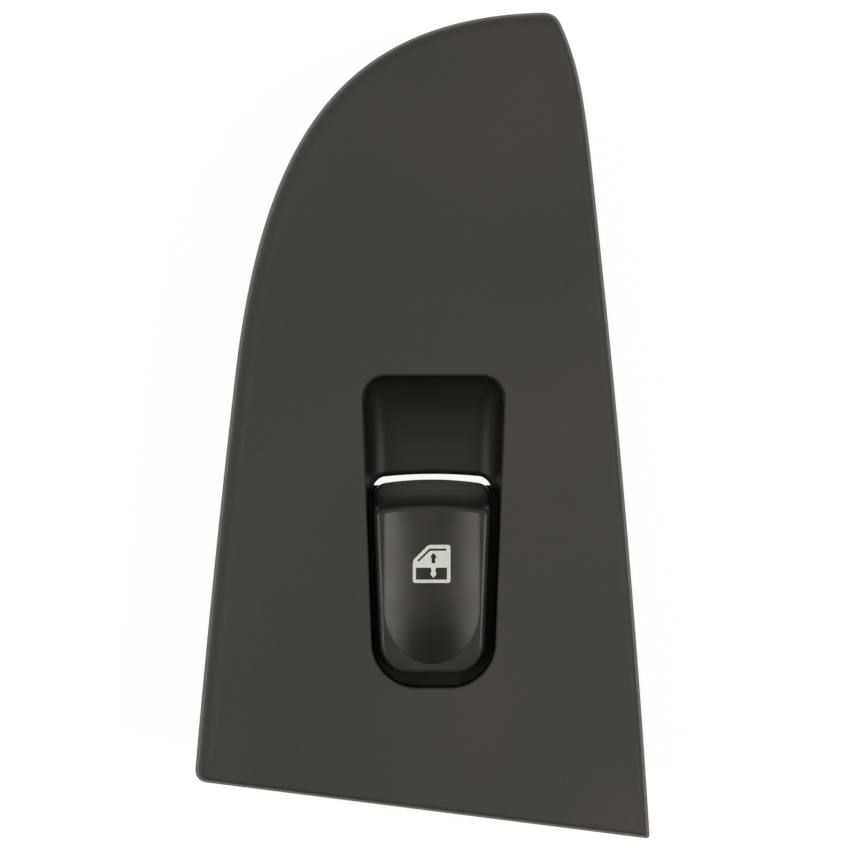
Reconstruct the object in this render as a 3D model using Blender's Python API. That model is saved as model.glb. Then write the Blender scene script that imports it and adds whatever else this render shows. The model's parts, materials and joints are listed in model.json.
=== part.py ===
"""Power window switch: a moulded trim panel with a finger scoop, and the rocker switch module screwed under it.

The panel's rim lies in the plane Z = 0 and its show face looks along +Z. The narrow, rounded end of the panel
points along +Y. The origin is the centre of the cross-shaped rest post under the panel. Sizes are in metres.
"""

import math

import bmesh
import bpy
import numpy as np
from mathutils import Matrix, Vector

# Clearances and joins
GAP = 0.0003
SLIDING_GAP = 0.00015
EMBED = 0.0008
SMALLEST_CORNER = 0.0005
SEARCH_REACH = 0.1

# Trim panel outline at the rim, seen from above
PANEL_APEX = (0.0234, 0.0553)
PANEL_LEFT_SHOULDER = (-0.0382, -0.0150)
PANEL_RIGHT_SHOULDER = (0.0321, 0.0098)
PANEL_BOTTOM_LEFT = (-0.0460, -0.0925)
PANEL_BOTTOM_RIGHT = (0.0416, -0.1036)
RIGHT_LEAN_LOW = 0.062
RIGHT_LEAN_HIGH = 0.105
LEFT_LEAN_LOW = 0.086
LEFT_LEAN_HIGH = 0.115
APEX_LEAN_X = 0.12
APEX_LEAN_Y = 0.24
SHOULDER_FULLNESS = 0.60
CREST_FULLNESS_TOP = 0.68
CREST_FULLNESS_SIDE = 0.64
APEX_BLEND = 0.0024
BOTTOM_LEFT_BLEND = 0.0026
BOTTOM_RIGHT_BLEND = 0.0009

# Trim panel section
PANEL_HEIGHT = 0.0130
PANEL_WALL = 0.0024
SKIRT_DRAFT = 0.0006
CROWN_RADIUS_X = 0.420
CROWN_RADIUS_Y = 1.600
CROWN_CENTRE_Y = -0.0240
LEFT_ROLL = 0.0036
RIGHT_ROLL = 0.0014
TOP_ROLL = 0.0022
BOTTOM_ROLL = 0.0008
ROLL_DROP_RATIO = 0.85
UNDER_ROLL_RATIO = 0.7
UNDER_ROLL_DROP_RATIO = 0.5

# Recess that the finger and the rocker share
RECESS_FRONT_Y = -0.0146
RECESS_REAR_Y = -0.0744
RECESS_FRONT_HALF_WIDTH = 0.01376
RECESS_REAR_HALF_WIDTH = 0.01155
RECESS_FRONT_CORNER = 0.0045
RECESS_REAR_CORNER = 0.0084
RECESS_EDGE_RADIUS = 0.0010
RECESS_DRAFT = 0.0003
COLLAR_WALL = 0.0016

# Finger scoop
SCOOP_LIP_Y = -0.03345
SCOOP_LIP_Z = 0.0046
SCOOP_WALL = 0.0018
SCOOP_LIP_ROLL = 0.0012
SCOOP_SIDE_FILLET = 0.0040
SCOOP_EDGE_DEPTH = 0.0014
SCOOP_BOWL_SHARE = 0.55
LIP_ARCH_RADIUS = 0.090
LIP_HORN_TURN_DEG = 20.0
HORN_GAP = 0.00035

# Rocker
MODULE_X = -0.0003
PIVOT_Y = -0.0570
PIVOT_Z = 0.0015
RELIEF_ANGLE = math.radians(9.0)
KNUCKLE = 0.0029
SLIT_WIDTH = 0.00105
ROCKER_SIDE_GAP = 0.00175
TOE_CORNER_RADIUS = 0.0022
TOE_ARCH_RADIUS = 0.062
TOE_ROW_TURNS_DEG = (0.0, 3.0, 8.0, 15.0, 26.0, 39.0, 52.0, 65.0, 78.0)
ROCKER_REAR_GAP = 0.0028
ROCKER_REAR_CORNER = 0.0055
ROCKER_CREST_Y = -0.0460
ROCKER_CREST_Z = 0.0119
ROCKER_TOP_RADIUS = 0.130
ROCKER_SIDE_FALL = 0.0004
ROCKER_EDGE_RADIUS = 0.0010
ROCKER_LIP_SETBACK = 0.0048
ROCKER_LIP_RADIUS = 0.0012
ROCKER_TOP_WALL = 0.0031
ROCKER_SIDE_WALL = 0.0018
TOE_SHELF = 0.0030
DISH_HALF_WIDTH = 0.0092
DISH_DEPTH = 0.0017
DISH_TURN_Y = -0.0565
DISH_END_LENGTH = 0.0135
DISH_TIP_SHARE = 0.985

# Rocker pivot and plungers
TRUNNION_RADIUS = 0.0015
BARREL_RADIUS = 0.0021
SPRING_CHAMBER_Z = 0.0067
PLUNGER_RADIUS = 0.00125
PLUNGER_TIP_Z = -0.0096
PLUNGER_LENGTH = 0.0080
PLUNGER_EXTENSION = 0.0030
SPRING_SEAT_RADIUS = 0.00055
SPRING_SEAT_LENGTH = 0.0012
SPRING_WIRE = 0.00036
SPRING_TURNS = 7

# Switch housing
DECK_Z = -0.0019
DECK_THICKNESS = 0.0015
DECK_SETBACK = 0.0011
DECK_MARGIN = 0.0008
DECK_FRONT_CORNER = 0.0020
HOUSING_WALL = 0.0015
CHIMNEY_WALL = 0.0012
CHIMNEY_SIDE_GAP = 0.0004
CHIMNEY_REAR_REACH = 0.0070
CHIMNEY_FRONT_REACH = 0.0042
CHIMNEY_TOP_Z = 0.0055
EAR_THICKNESS = 0.0024
EAR_RADIUS = 0.0042
SNAP_WINDOW_REACH = 0.0082
SNAP_WINDOW_WIDTH = 0.0050
SNAP_WINDOW_HEIGHT = 0.0022
SNAP_WINDOW_SILL = 0.0008
SNAP_HOOK_DEPTH = 0.0009

# Module screws
SIDE_SCREW_X = 0.0193
SIDE_SCREW_Y = -0.0460
REAR_SCREW_SETBACK = 0.0082
SCREW_RADIUS = 0.00145
SCREW_LENGTH = 0.0095
SCREW_POINT_LENGTH = 0.0014
SCREW_HEAD_RADIUS = 0.0028
SCREW_HEAD_HEIGHT = 0.0019
SCREW_HEAD_DOME = ((0.62, 0.0), (0.90, 0.30), (1.0, 0.65))
DRIVE_SLOT_WIDTH = 0.0008
DRIVE_SLOT_LENGTH = 0.0030
DRIVE_SLOT_DEPTH = 0.0011
BOSS_RADIUS = 0.0033

# Seesaw contacts and terminals
PLUNGER_CLEARANCE = 0.0007
SEESAW_OFFSET = 0.00075
SEESAW_REACH = 0.0054
SEESAW_ANGLE = math.radians(8.0)
CONTACT_THICKNESS = 0.0005
CONTACT_WIDTH = 0.0028
CONTACT_END_MARGIN = 0.0012
SILVER_RADIUS = 0.0009
SILVER_HEIGHT = 0.0004
SADDLE_LENGTH = 0.0010
PRONG_THICKNESS = 0.0006
PRONG_RISE = 0.0004
STRIP_THICKNESS = 0.0006
STRIP_WIDTH = 0.0007
LANE_GAP = 0.0004
PAD_RADIUS = 0.0011
PIN_WIDTH = 0.0012
PIN_THICKNESS = 0.0006
PIN_LENGTH = 0.0082
PIN_POINT = 0.0006
PIN_INNER_X = 0.0018
PIN_OUTER_X = 0.0054
PIN_FRONT_ROW_REACH = 0.0098
PIN_ROW_PITCH = 0.0030
GATHER_PITCH = 0.0016
FEED_TURN_REACH = 0.0030

# Terminal base and connector shroud
BASE_PLATE_THICKNESS = 0.0018
BASE_RIM_WALL = 0.0012
BASE_RIM_HEIGHT = 0.0036
TERMINAL_MARGIN = 0.0020
SHROUD_WALL = 0.0011
SHROUD_MARGIN = 0.0017
SHROUD_SIDE_MARGIN = 0.0022
SHROUD_LENGTH = 0.0130
KEY_RIB_WIDTH = 0.0012
KEY_RIB_HEIGHT = 0.0006

# Lamp behind the window sign
SIGN_Y = -0.0508
LINK_REACH = 0.0042
LAMP_TUBE_BORE = 0.0016
LAMP_TUBE_WALL = 0.0007
GUIDE_RADIUS = 0.0012
GUIDE_FOOT_RADIUS = 0.0020
GUIDE_FOOT_HEIGHT = 0.0008
GUIDE_TOP_Z = 0.0068
LAMP_HALF_LENGTH = 0.0016
LAMP_HALF_WIDTH = 0.0010
LAMP_HEIGHT = 0.0006
LAMP_PAD_X = 0.0010
LAMP_LENS_RADIUS = 0.0007
RESISTOR_X = 0.0043
RESISTOR_RADIUS = 0.0007
RESISTOR_HALF_LENGTH = 0.0017
RESISTOR_OVERLAP = 0.0006

# Rest post, ribs and clip tabs under the panel
POST_LENGTH = 0.0100
POST_RIB = 0.0016
RIB_THICKNESS = 0.0012
RIB_DEPTH = 0.0050
UPPER_RIB_Y = 0.0260
LOWER_RIB_SETBACK = 0.0025
CLIP_STATIONS = ((0.0400, 1), (-0.0260, -1), (-0.0200, 1), (-0.0800, -1), (-0.0800, 1))
CLIP_INSET = 0.0125
TAB_WIDTH = 0.0080
TAB_THICKNESS = 0.0018
TAB_END_Z = -0.0070
CLIP_WIDTH = 0.0060
CLIP_SHEET = 0.0006
CLIP_LENGTH = 0.0083
CLIP_BARB = 0.0019
CLIP_BARB_HEIGHT = 0.0040
CLIP_SHOULDER_HEIGHT = 0.0062

# Levels of the contact set, worked out from the plungers downwards
SEESAW_Z = PLUNGER_TIP_Z - PLUNGER_CLEARANCE - CONTACT_THICKNESS
STRIP_TOP_Z = SEESAW_Z - SILVER_HEIGHT - GAP
STRIP_BOTTOM_Z = STRIP_TOP_Z - STRIP_THICKNESS
PLATE_TOP_Z = STRIP_BOTTOM_Z - GAP
PLATE_BOTTOM_Z = PLATE_TOP_Z - BASE_PLATE_THICKNESS
HOUSING_END_Z = PLATE_TOP_Z + GAP
SHROUD_END_Z = PLATE_BOTTOM_Z - SHROUD_LENGTH
SNAP_WINDOW_Z = HOUSING_END_Z + SNAP_WINDOW_SILL
LAMP_TOP_Z = STRIP_TOP_Z + GAP + LAMP_HEIGHT + LAMP_LENS_RADIUS
GUIDE_FOOT_Z = LAMP_TOP_Z + GAP
LAMP_TUBE_END_Z = GUIDE_FOOT_Z + GUIDE_FOOT_HEIGHT + GAP

# Places along the module
TOE_Y = SCOOP_LIP_Y - SLIT_WIDTH
ROCKER_LIP_Y = TOE_Y - ROCKER_LIP_SETBACK
ROCKER_REAR_Y = RECESS_REAR_Y + ROCKER_REAR_GAP
DECK_FRONT_Y = TOE_Y - DECK_SETBACK
DECK_REAR_Y = RECESS_REAR_Y - COLLAR_WALL - DECK_MARGIN
CHIMNEY_FRONT_Y = SIGN_Y + CHIMNEY_FRONT_REACH
CHIMNEY_REAR_Y = PIVOT_Y - CHIMNEY_REAR_REACH
LAMP_LINK_Y = SIGN_Y + LINK_REACH
LAMP_TUBE_RADIUS = LAMP_TUBE_BORE + LAMP_TUBE_WALL
PIN_FRONT_Y = PIVOT_Y - PIN_FRONT_ROW_REACH
PIN_REAR_Y = PIN_FRONT_Y - PIN_ROW_PITCH
GATHER_Y = PIN_FRONT_Y + GATHER_PITCH
RIM_STACK = LANE_GAP + BASE_RIM_WALL + GAP + HOUSING_WALL
HOUSING_FRONT_Y = LAMP_LINK_Y + STRIP_WIDTH / 2 + TERMINAL_MARGIN + RIM_STACK - LANE_GAP
HOUSING_REAR_Y = PIN_REAR_Y - STRIP_WIDTH / 2 - RIM_STACK
SHROUD_FRONT_Y = PIN_FRONT_Y + SHROUD_MARGIN + SHROUD_WALL
SHROUD_REAR_Y = PIN_REAR_Y - SHROUD_MARGIN - SHROUD_WALL
SHROUD_HALF_WIDTH = PIN_OUTER_X + SHROUD_SIDE_MARGIN + SHROUD_WALL

# Rocker levels
SIDE_TAPER = (RECESS_FRONT_HALF_WIDTH - RECESS_REAR_HALF_WIDTH) / (RECESS_FRONT_Y - RECESS_REAR_Y)
TOE_HALF_WIDTH = RECESS_REAR_HALF_WIDTH + (TOE_Y - RECESS_REAR_Y) * SIDE_TAPER - ROCKER_SIDE_GAP
HEEL_HALF_WIDTH = RECESS_REAR_HALF_WIDTH + (ROCKER_REAR_Y - RECESS_REAR_Y) * SIDE_TAPER - ROCKER_SIDE_GAP
CHIMNEY_SIDE = HEEL_HALF_WIDTH + (CHIMNEY_REAR_Y - ROCKER_REAR_Y) * SIDE_TAPER - ROCKER_SIDE_WALL
CHIMNEY_HALF_WIDTH = CHIMNEY_SIDE - CHIMNEY_SIDE_GAP
PLUNGER_X = CHIMNEY_HALF_WIDTH - CHIMNEY_WALL - GAP - BARREL_RADIUS
BARREL_END_Z = PLUNGER_TIP_Z + PLUNGER_EXTENSION
BORE_RADIUS = PLUNGER_RADIUS + SLIDING_GAP

# Lanes of the terminal strips beside the contacts
INNER_LANE_X = PLUNGER_X + CONTACT_WIDTH / 2 + GAP + PRONG_THICKNESS
MIDDLE_LANE_X = INNER_LANE_X + STRIP_WIDTH + LANE_GAP
OUTER_LANE_X = MIDDLE_LANE_X + STRIP_WIDTH + LANE_GAP
HOUSING_HALF_WIDTH = OUTER_LANE_X + STRIP_WIDTH / 2 + RIM_STACK
SEESAW_ARM = SEESAW_REACH - CONTACT_END_MARGIN
SCREW_POINTS = (
    (MODULE_X - SIDE_SCREW_X, SIDE_SCREW_Y),
    (MODULE_X + SIDE_SCREW_X, SIDE_SCREW_Y),
    (MODULE_X, RECESS_REAR_Y - REAR_SCREW_SETBACK),
)


def clear_scene():
    """Empties the scene, so that only this object is in it."""
    for obj in list(bpy.data.objects):
        bpy.data.objects.remove(obj)


def make_material(name, colour, roughness, metallic=0.0):
    """A plain surface of one colour."""
    material = bpy.data.materials.new(name)
    material.use_nodes = True
    shader = material.node_tree.nodes["Principled BSDF"]
    shader.inputs["Base Color"].default_value = (*colour, 1.0)
    shader.inputs["Roughness"].default_value = roughness
    shader.inputs["Metallic"].default_value = metallic
    return material


def make_object(name, points, faces, material=None, bent=False):
    """An object from points and faces, turned outwards. Where its faces are bent, they are split into triangles."""
    mesh = bpy.data.meshes.new(name)
    mesh.from_pydata([tuple(float(v) for v in p) for p in points], [], faces)
    work = bmesh.new()
    work.from_mesh(mesh)
    bmesh.ops.recalc_face_normals(work, faces=work.faces)
    if bent:
        bmesh.ops.triangulate(work, faces=work.faces)
    work.to_mesh(mesh)
    work.free()
    if material:
        mesh.materials.append(material)
    obj = bpy.data.objects.new(name, mesh)
    bpy.context.scene.collection.objects.link(obj)
    return obj


def combine(target, tool, operation):
    """Joins the tool to the target, cuts it away or keeps what both share, and removes the tool."""
    modifier = target.modifiers.new(operation.title(), "BOOLEAN")
    modifier.operation = operation
    modifier.object = tool
    graph = bpy.context.evaluated_depsgraph_get()
    made = bpy.data.meshes.new_from_object(target.evaluated_get(graph))
    target.modifiers.clear()
    worn = target.data
    target.data = made
    bpy.data.meshes.remove(worn)
    bpy.data.objects.remove(tool)
    return target


def add(target, *tools):
    """Fuses each tool to the target."""
    for tool in tools:
        combine(target, tool, "UNION")
    return target


def cut(target, *tools):
    """Cuts each tool out of the target."""
    for tool in tools:
        combine(target, tool, "DIFFERENCE")
    return target


def finish(obj, origin, parent=None, smooth_angle=math.radians(32)):
    """Puts the object's own origin at a point, shades its round stretches smooth and parents it."""
    point = Vector(origin)
    obj.data.transform(Matrix.Translation(-point))
    obj.data.shade_smooth()
    obj.data.set_sharp_from_angle(angle=smooth_angle)
    if parent:
        obj.parent = parent
        point = point - parent.matrix_world.translation
    obj.location = point
    return obj


def make_empty(name, point):
    """A point that moving pieces hang on."""
    empty = bpy.data.objects.new(name, None)
    empty.empty_display_size = 0.005
    empty.location = point
    bpy.context.scene.collection.objects.link(empty)
    bpy.context.view_layer.update()
    return empty


def extruded(name, outline, start, end, axis="Z", material=None):
    """A solid from a flat outline pushed along an axis. The outline's two numbers are the other axes, in order."""
    place = {
        "X": lambda a, b, c: (c, a, b),
        "Y": lambda a, b, c: (a, c, b),
        "Z": lambda a, b, c: (a, b, c),
    }[axis]
    count = len(outline)
    points = [place(a, b, c) for c in (start, end) for a, b in outline]
    faces = [tuple(range(count)), tuple(range(count, 2 * count))]
    for i in range(count):
        j = (i + 1) % count
        faces.append((i, j, count + j, count + i))
    return make_object(name, points, faces, material)


def box(name, x0, x1, y0, y1, z0, z1, material=None):
    """A rectangular block between two corners."""
    return extruded(name, [(x0, y0), (x1, y0), (x1, y1), (x0, y1)], z0, z1, "Z", material)


def module_box(half_width, y0, y1, z0, z1):
    """A block centred on the switch module."""
    return box("block", MODULE_X - half_width, MODULE_X + half_width, y0, y1, z0, z1)


def circle(radius, centre=(0.0, 0.0), steps=24):
    """Points on a circle, with a flat side across each axis."""
    turn = 2 * math.pi / steps
    return [
        (centre[0] + radius * math.cos((i + 0.5) * turn), centre[1] + radius * math.sin((i + 0.5) * turn))
        for i in range(steps)
    ]


def post(radius, centre, z0, z1, steps=24):
    """An upright round post."""
    return extruded("post", circle(radius, centre, steps), z0, z1)


def cross_pin(radius, x0, x1, y, z, steps=24):
    """A round pin that lies along X."""
    return extruded("cross_pin", circle(radius, (y, z), steps), x0, x1, "X")


def turned(name, profile, centre, steps=24, material=None):
    """A solid of revolution about an upright axis. The profile is (radius, height) from the bottom to the top."""
    rings = []
    points = []
    for radius, height in profile:
        first = len(points)
        if radius == 0.0:
            rings.append([first])
            points.append((centre[0], centre[1], height))
        else:
            rings.append(list(range(first, first + steps)))
            points.extend((x, y, height) for x, y in circle(radius, centre, steps))
    faces = []
    for lower, upper in zip(rings, rings[1:]):
        for i in range(steps):
            j = (i + 1) % steps
            if len(lower) == 1:
                faces.append((lower[0], upper[j], upper[i]))
            elif len(upper) == 1:
                faces.append((lower[i], lower[j], upper[0]))
            else:
                faces.append((lower[i], lower[j], upper[j], upper[i]))
    faces.extend(tuple(ring) for ring in (rings[0], rings[-1]) if len(ring) > 1)
    return make_object(name, points, faces, material)


def ring_solid(name, rings, material=None):
    """A closed solid from rings of points, where the last ring joins the first, as round a frame's section."""
    columns = len(rings[0])
    points = [p for ring in rings for p in ring]
    faces = []
    for i in range(len(rings)):
        k = (i + 1) % len(rings)
        for j in range(columns):
            m = (j + 1) % columns
            faces.append((i * columns + j, i * columns + m, k * columns + m, k * columns + j))
    return make_object(name, points, faces, material, bent=True)


def slab(name, rows, material=None):
    """A closed solid between an upper and a lower sheet. Each row holds (upper point, lower point) pairs."""
    width = len(rows[0])
    lower = width * len(rows)
    points = [pair[0] for row in rows for pair in row] + [pair[1] for row in rows for pair in row]
    faces = []
    for i in range(len(rows) - 1):
        for j in range(width - 1):
            a = i * width + j
            sheet = (a, a + 1, a + width + 1, a + width)
            faces.append(sheet)
            faces.append(tuple(lower + v for v in reversed(sheet)))
    border = list(range(width))
    border += [i * width + width - 1 for i in range(1, len(rows))]
    border += [(len(rows) - 1) * width + j for j in range(width - 2, -1, -1)]
    border += [i * width for i in range(len(rows) - 2, 0, -1)]
    for a, b in zip(border, border[1:] + border[:1]):
        faces.append((a, b, lower + b, lower + a))
    return make_object(name, points, faces, material, bent=True)


def ribbon(path, width):
    """The closed outline of a strip of even width along a path, with mitred corners."""
    points = [np.array(p) for p in path]
    steps = [(b - a) / np.linalg.norm(b - a) for a, b in zip(points, points[1:])]
    normals = [np.array((-step[1], step[0])) for step in steps]
    left, right = [], []
    for i, point in enumerate(points):
        before = normals[max(i - 1, 0)]
        after = normals[min(i, len(normals) - 1)]
        mitre = (before + after) / (1 + before @ after) * width / 2
        left.append(point + mitre)
        right.append(point - mitre)
    return left + right[::-1]


def bezier(points, steps):
    """Points along a cubic curve."""
    controls = [np.array(p) for p in points]
    made = []
    for i in range(steps + 1):
        t = i / steps
        weights = ((1 - t) ** 3, 3 * (1 - t) ** 2 * t, 3 * (1 - t) * t**2, t**3)
        made.append(sum(w * c for w, c in zip(weights, controls)))
    return made


def trimmed(points, length):
    """The curve with a length taken off its start."""
    left = length
    for i in range(len(points) - 1):
        step = np.linalg.norm(points[i + 1] - points[i])
        if step > left:
            start = points[i] + (points[i + 1] - points[i]) * (left / step)
            return [start] + points[i + 1 :]
        left -= step
    return points[-1:]


def joined_loop(pieces, blends, steps=5):
    """Joins curves into a closed loop. The corner after each curve is rounded over its blend length."""
    kept = []
    for k, piece in enumerate(pieces):
        points = piece
        if blends[k - 1]:
            points = trimmed(points, blends[k - 1])
        if blends[k]:
            points = trimmed(points[::-1], blends[k])[::-1]
        kept.append(points)
    loop = []
    for k, points in enumerate(kept):
        loop.extend(points[:-1])
        if blends[k]:
            corner = pieces[k][-1]
            following = kept[(k + 1) % len(pieces)][0]
            for i in range(steps):
                t = i / steps
                loop.append((1 - t) ** 2 * points[-1] + 2 * t * (1 - t) * corner + t**2 * following)
    return loop


def panel_loop():
    """The trim panel's outline at its rim, anticlockwise from the bottom left corner."""
    bottom_left, bottom_right = np.array(PANEL_BOTTOM_LEFT), np.array(PANEL_BOTTOM_RIGHT)
    right, apex, left = np.array(PANEL_RIGHT_SHOULDER), np.array(PANEL_APEX), np.array(PANEL_LEFT_SHOULDER)
    right_third = (right - bottom_right)[1] / 3
    left_third = (left - bottom_left)[1] / 3
    apex_rise = (apex - right)[1]
    crest_run, crest_rise = apex - left
    along_bottom = (bottom_right - bottom_left) / 3
    low_right, high_right = np.array((-RIGHT_LEAN_LOW, 1.0)), np.array((-RIGHT_LEAN_HIGH, 1.0))
    low_left, high_left = np.array((LEFT_LEAN_LOW, 1.0)), np.array((LEFT_LEAN_HIGH, 1.0))
    apex_lean = np.array((APEX_LEAN_X, -APEX_LEAN_Y))
    fullness = np.array((crest_run * CREST_FULLNESS_TOP, 0.0))
    bottom = [bottom_left, bottom_left + along_bottom, bottom_right - along_bottom, bottom_right]
    right_side = [bottom_right, bottom_right + low_right * right_third, right - high_right * right_third, right]
    shoulder = [right, right + high_right * apex_rise * SHOULDER_FULLNESS, apex + apex_lean * apex_rise, apex]
    crest = [apex, apex - fullness, left + high_left * crest_rise * CREST_FULLNESS_SIDE, left]
    left_side = [left, left - high_left * left_third, bottom_left + low_left * left_third, bottom_left]
    pieces = [bezier(bottom, 6), bezier(right_side, 8), bezier(shoulder, 8), bezier(crest, 20), bezier(left_side, 8)]
    return joined_loop(pieces, [BOTTOM_RIGHT_BLEND, 0.0, APEX_BLEND, 0.0, BOTTOM_LEFT_BLEND])


class TaperedOutline:
    """A pocket's or a knob's outline: two tapered sides and four rounded corners, symmetric about X = 0."""

    def __init__(self, front_y, rear_y, front_half, rear_half, front_corner, rear_corner):
        self.front_y = front_y
        self.rear_y = rear_y
        self.front_half = front_half
        self.rear_half = rear_half
        self.front_corner = front_corner
        self.rear_corner = rear_corner

    def grown(self, margin):
        """The same outline, larger by a margin all round."""
        return TaperedOutline(
            self.front_y + margin,
            self.rear_y - margin,
            self.front_half + margin,
            self.rear_half + margin,
            max(self.front_corner + margin, SMALLEST_CORNER),
            max(self.rear_corner + margin, SMALLEST_CORNER),
        )

    def half_width(self, y):
        """Half the width at a place along the outline."""
        y = min(max(y, self.rear_y), self.front_y)
        share = (y - self.rear_y) / (self.front_y - self.rear_y)
        half = self.rear_half + (self.front_half - self.rear_half) * share
        into_front = max(y - (self.front_y - self.front_corner), 0.0)
        into_rear = max((self.rear_y + self.rear_corner) - y, 0.0)
        half -= self.front_corner - math.sqrt(max(self.front_corner**2 - into_front**2, 0.0))
        half -= self.rear_corner - math.sqrt(max(self.rear_corner**2 - into_rear**2, 0.0))
        return half

    def loop(self, centre_x=0.0, steps=6):
        """The outline's points, anticlockwise from its front."""
        turns = [i / steps * math.pi / 2 for i in range(steps + 1)]
        ys = [self.front_y - self.front_corner * (1 - math.cos(t)) for t in turns]
        ys += [self.rear_y + self.rear_corner * (1 - math.cos(t)) for t in reversed(turns)]
        left = [(centre_x - self.half_width(y), y) for y in ys]
        right = [(centre_x + self.half_width(y), y) for y in reversed(ys)]
        return left + right


RECESS = TaperedOutline(
    RECESS_FRONT_Y,
    RECESS_REAR_Y,
    RECESS_FRONT_HALF_WIDTH,
    RECESS_REAR_HALF_WIDTH,
    RECESS_FRONT_CORNER,
    RECESS_REAR_CORNER,
)

ROCKER = TaperedOutline(
    TOE_Y,
    ROCKER_REAR_Y,
    TOE_HALF_WIDTH,
    HEEL_HALF_WIDTH,
    TOE_CORNER_RADIUS,
    ROCKER_REAR_CORNER,
)


class Outline:
    """A convex loop seen from a centre inside it, which can be drawn smaller or larger by a fixed distance."""

    def __init__(self, loop, centre):
        points = np.array(loop)
        sides = np.roll(points, -1, axis=0) - points
        lengths = np.linalg.norm(sides, axis=1)
        kept = lengths > 1e-7
        points, sides = points[kept], sides[kept] / lengths[kept][:, None]
        self.centre = np.array(centre)
        self.normals = np.stack([sides[:, 1], -sides[:, 0]], axis=1)
        self.distances = ((points - self.centre) * self.normals).sum(axis=1)
        offsets = points - self.centre
        self.angles = list(np.arctan2(offsets[:, 1], offsets[:, 0]))

    def reaches(self, angle, inset):
        """How far each side lies from the centre along a line at this angle."""
        along = self.normals @ np.array((math.cos(angle), math.sin(angle)))
        return np.where(along > 1e-6, (self.distances - inset) / np.maximum(along, 1e-6), np.inf)

    def normal(self, angle):
        """The outward direction of the side met at this angle."""
        return self.normals[int(self.reaches(angle, 0.0).argmin())]

    def point(self, angle, inset):
        """The point on the loop drawn smaller by the inset, at this angle from the centre."""
        return self.centre + np.array((math.cos(angle), math.sin(angle))) * self.reaches(angle, inset).min()

    def holds(self, point, inset):
        """Whether a point lies inside the loop drawn smaller by the inset."""
        return bool((self.normals @ (np.array(point) - self.centre) < self.distances - inset).all())

    def edge_x(self, y, side, inset):
        """Where the loop drawn smaller by the inset crosses a place along Y, on the left (-1) or the right (1)."""
        inside, outside = 0.0, side * SEARCH_REACH
        for _ in range(40):
            middle = (inside + outside) / 2
            if self.holds((middle, y), inset):
                inside = middle
            else:
                outside = middle
        return inside


def spread_angles(angles, least):
    """Sorted angles, without those that nearly repeat the one before."""
    kept = []
    for angle in sorted(angles):
        if not kept or angle - kept[-1] > least:
            kept.append(angle)
    if kept[0] + 2 * math.pi - kept[-1] < least:
        kept.pop()
    return kept


def crown(x, y):
    """Height of the show face."""
    return PANEL_HEIGHT - (y - CROWN_CENTRE_Y) ** 2 / (2 * CROWN_RADIUS_Y) - x**2 / (2 * CROWN_RADIUS_X)


def edge_roll(normal):
    """How far the rounded edge reaches in from the outline, by the way that the edge faces."""
    across = LEFT_ROLL if normal[0] < 0 else RIGHT_ROLL
    along = BOTTOM_ROLL if normal[1] < 0 else TOP_ROLL
    return normal[0] ** 2 * across + normal[1] ** 2 * along


def collar_end_z(y):
    """Where the collar round the recess ends: on the switch deck, or under the scoop, which closes it there."""
    return SCOOP_LIP_Z - SCOOP_WALL - GAP if y > SCOOP_LIP_Y else DECK_Z + GAP


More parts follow.
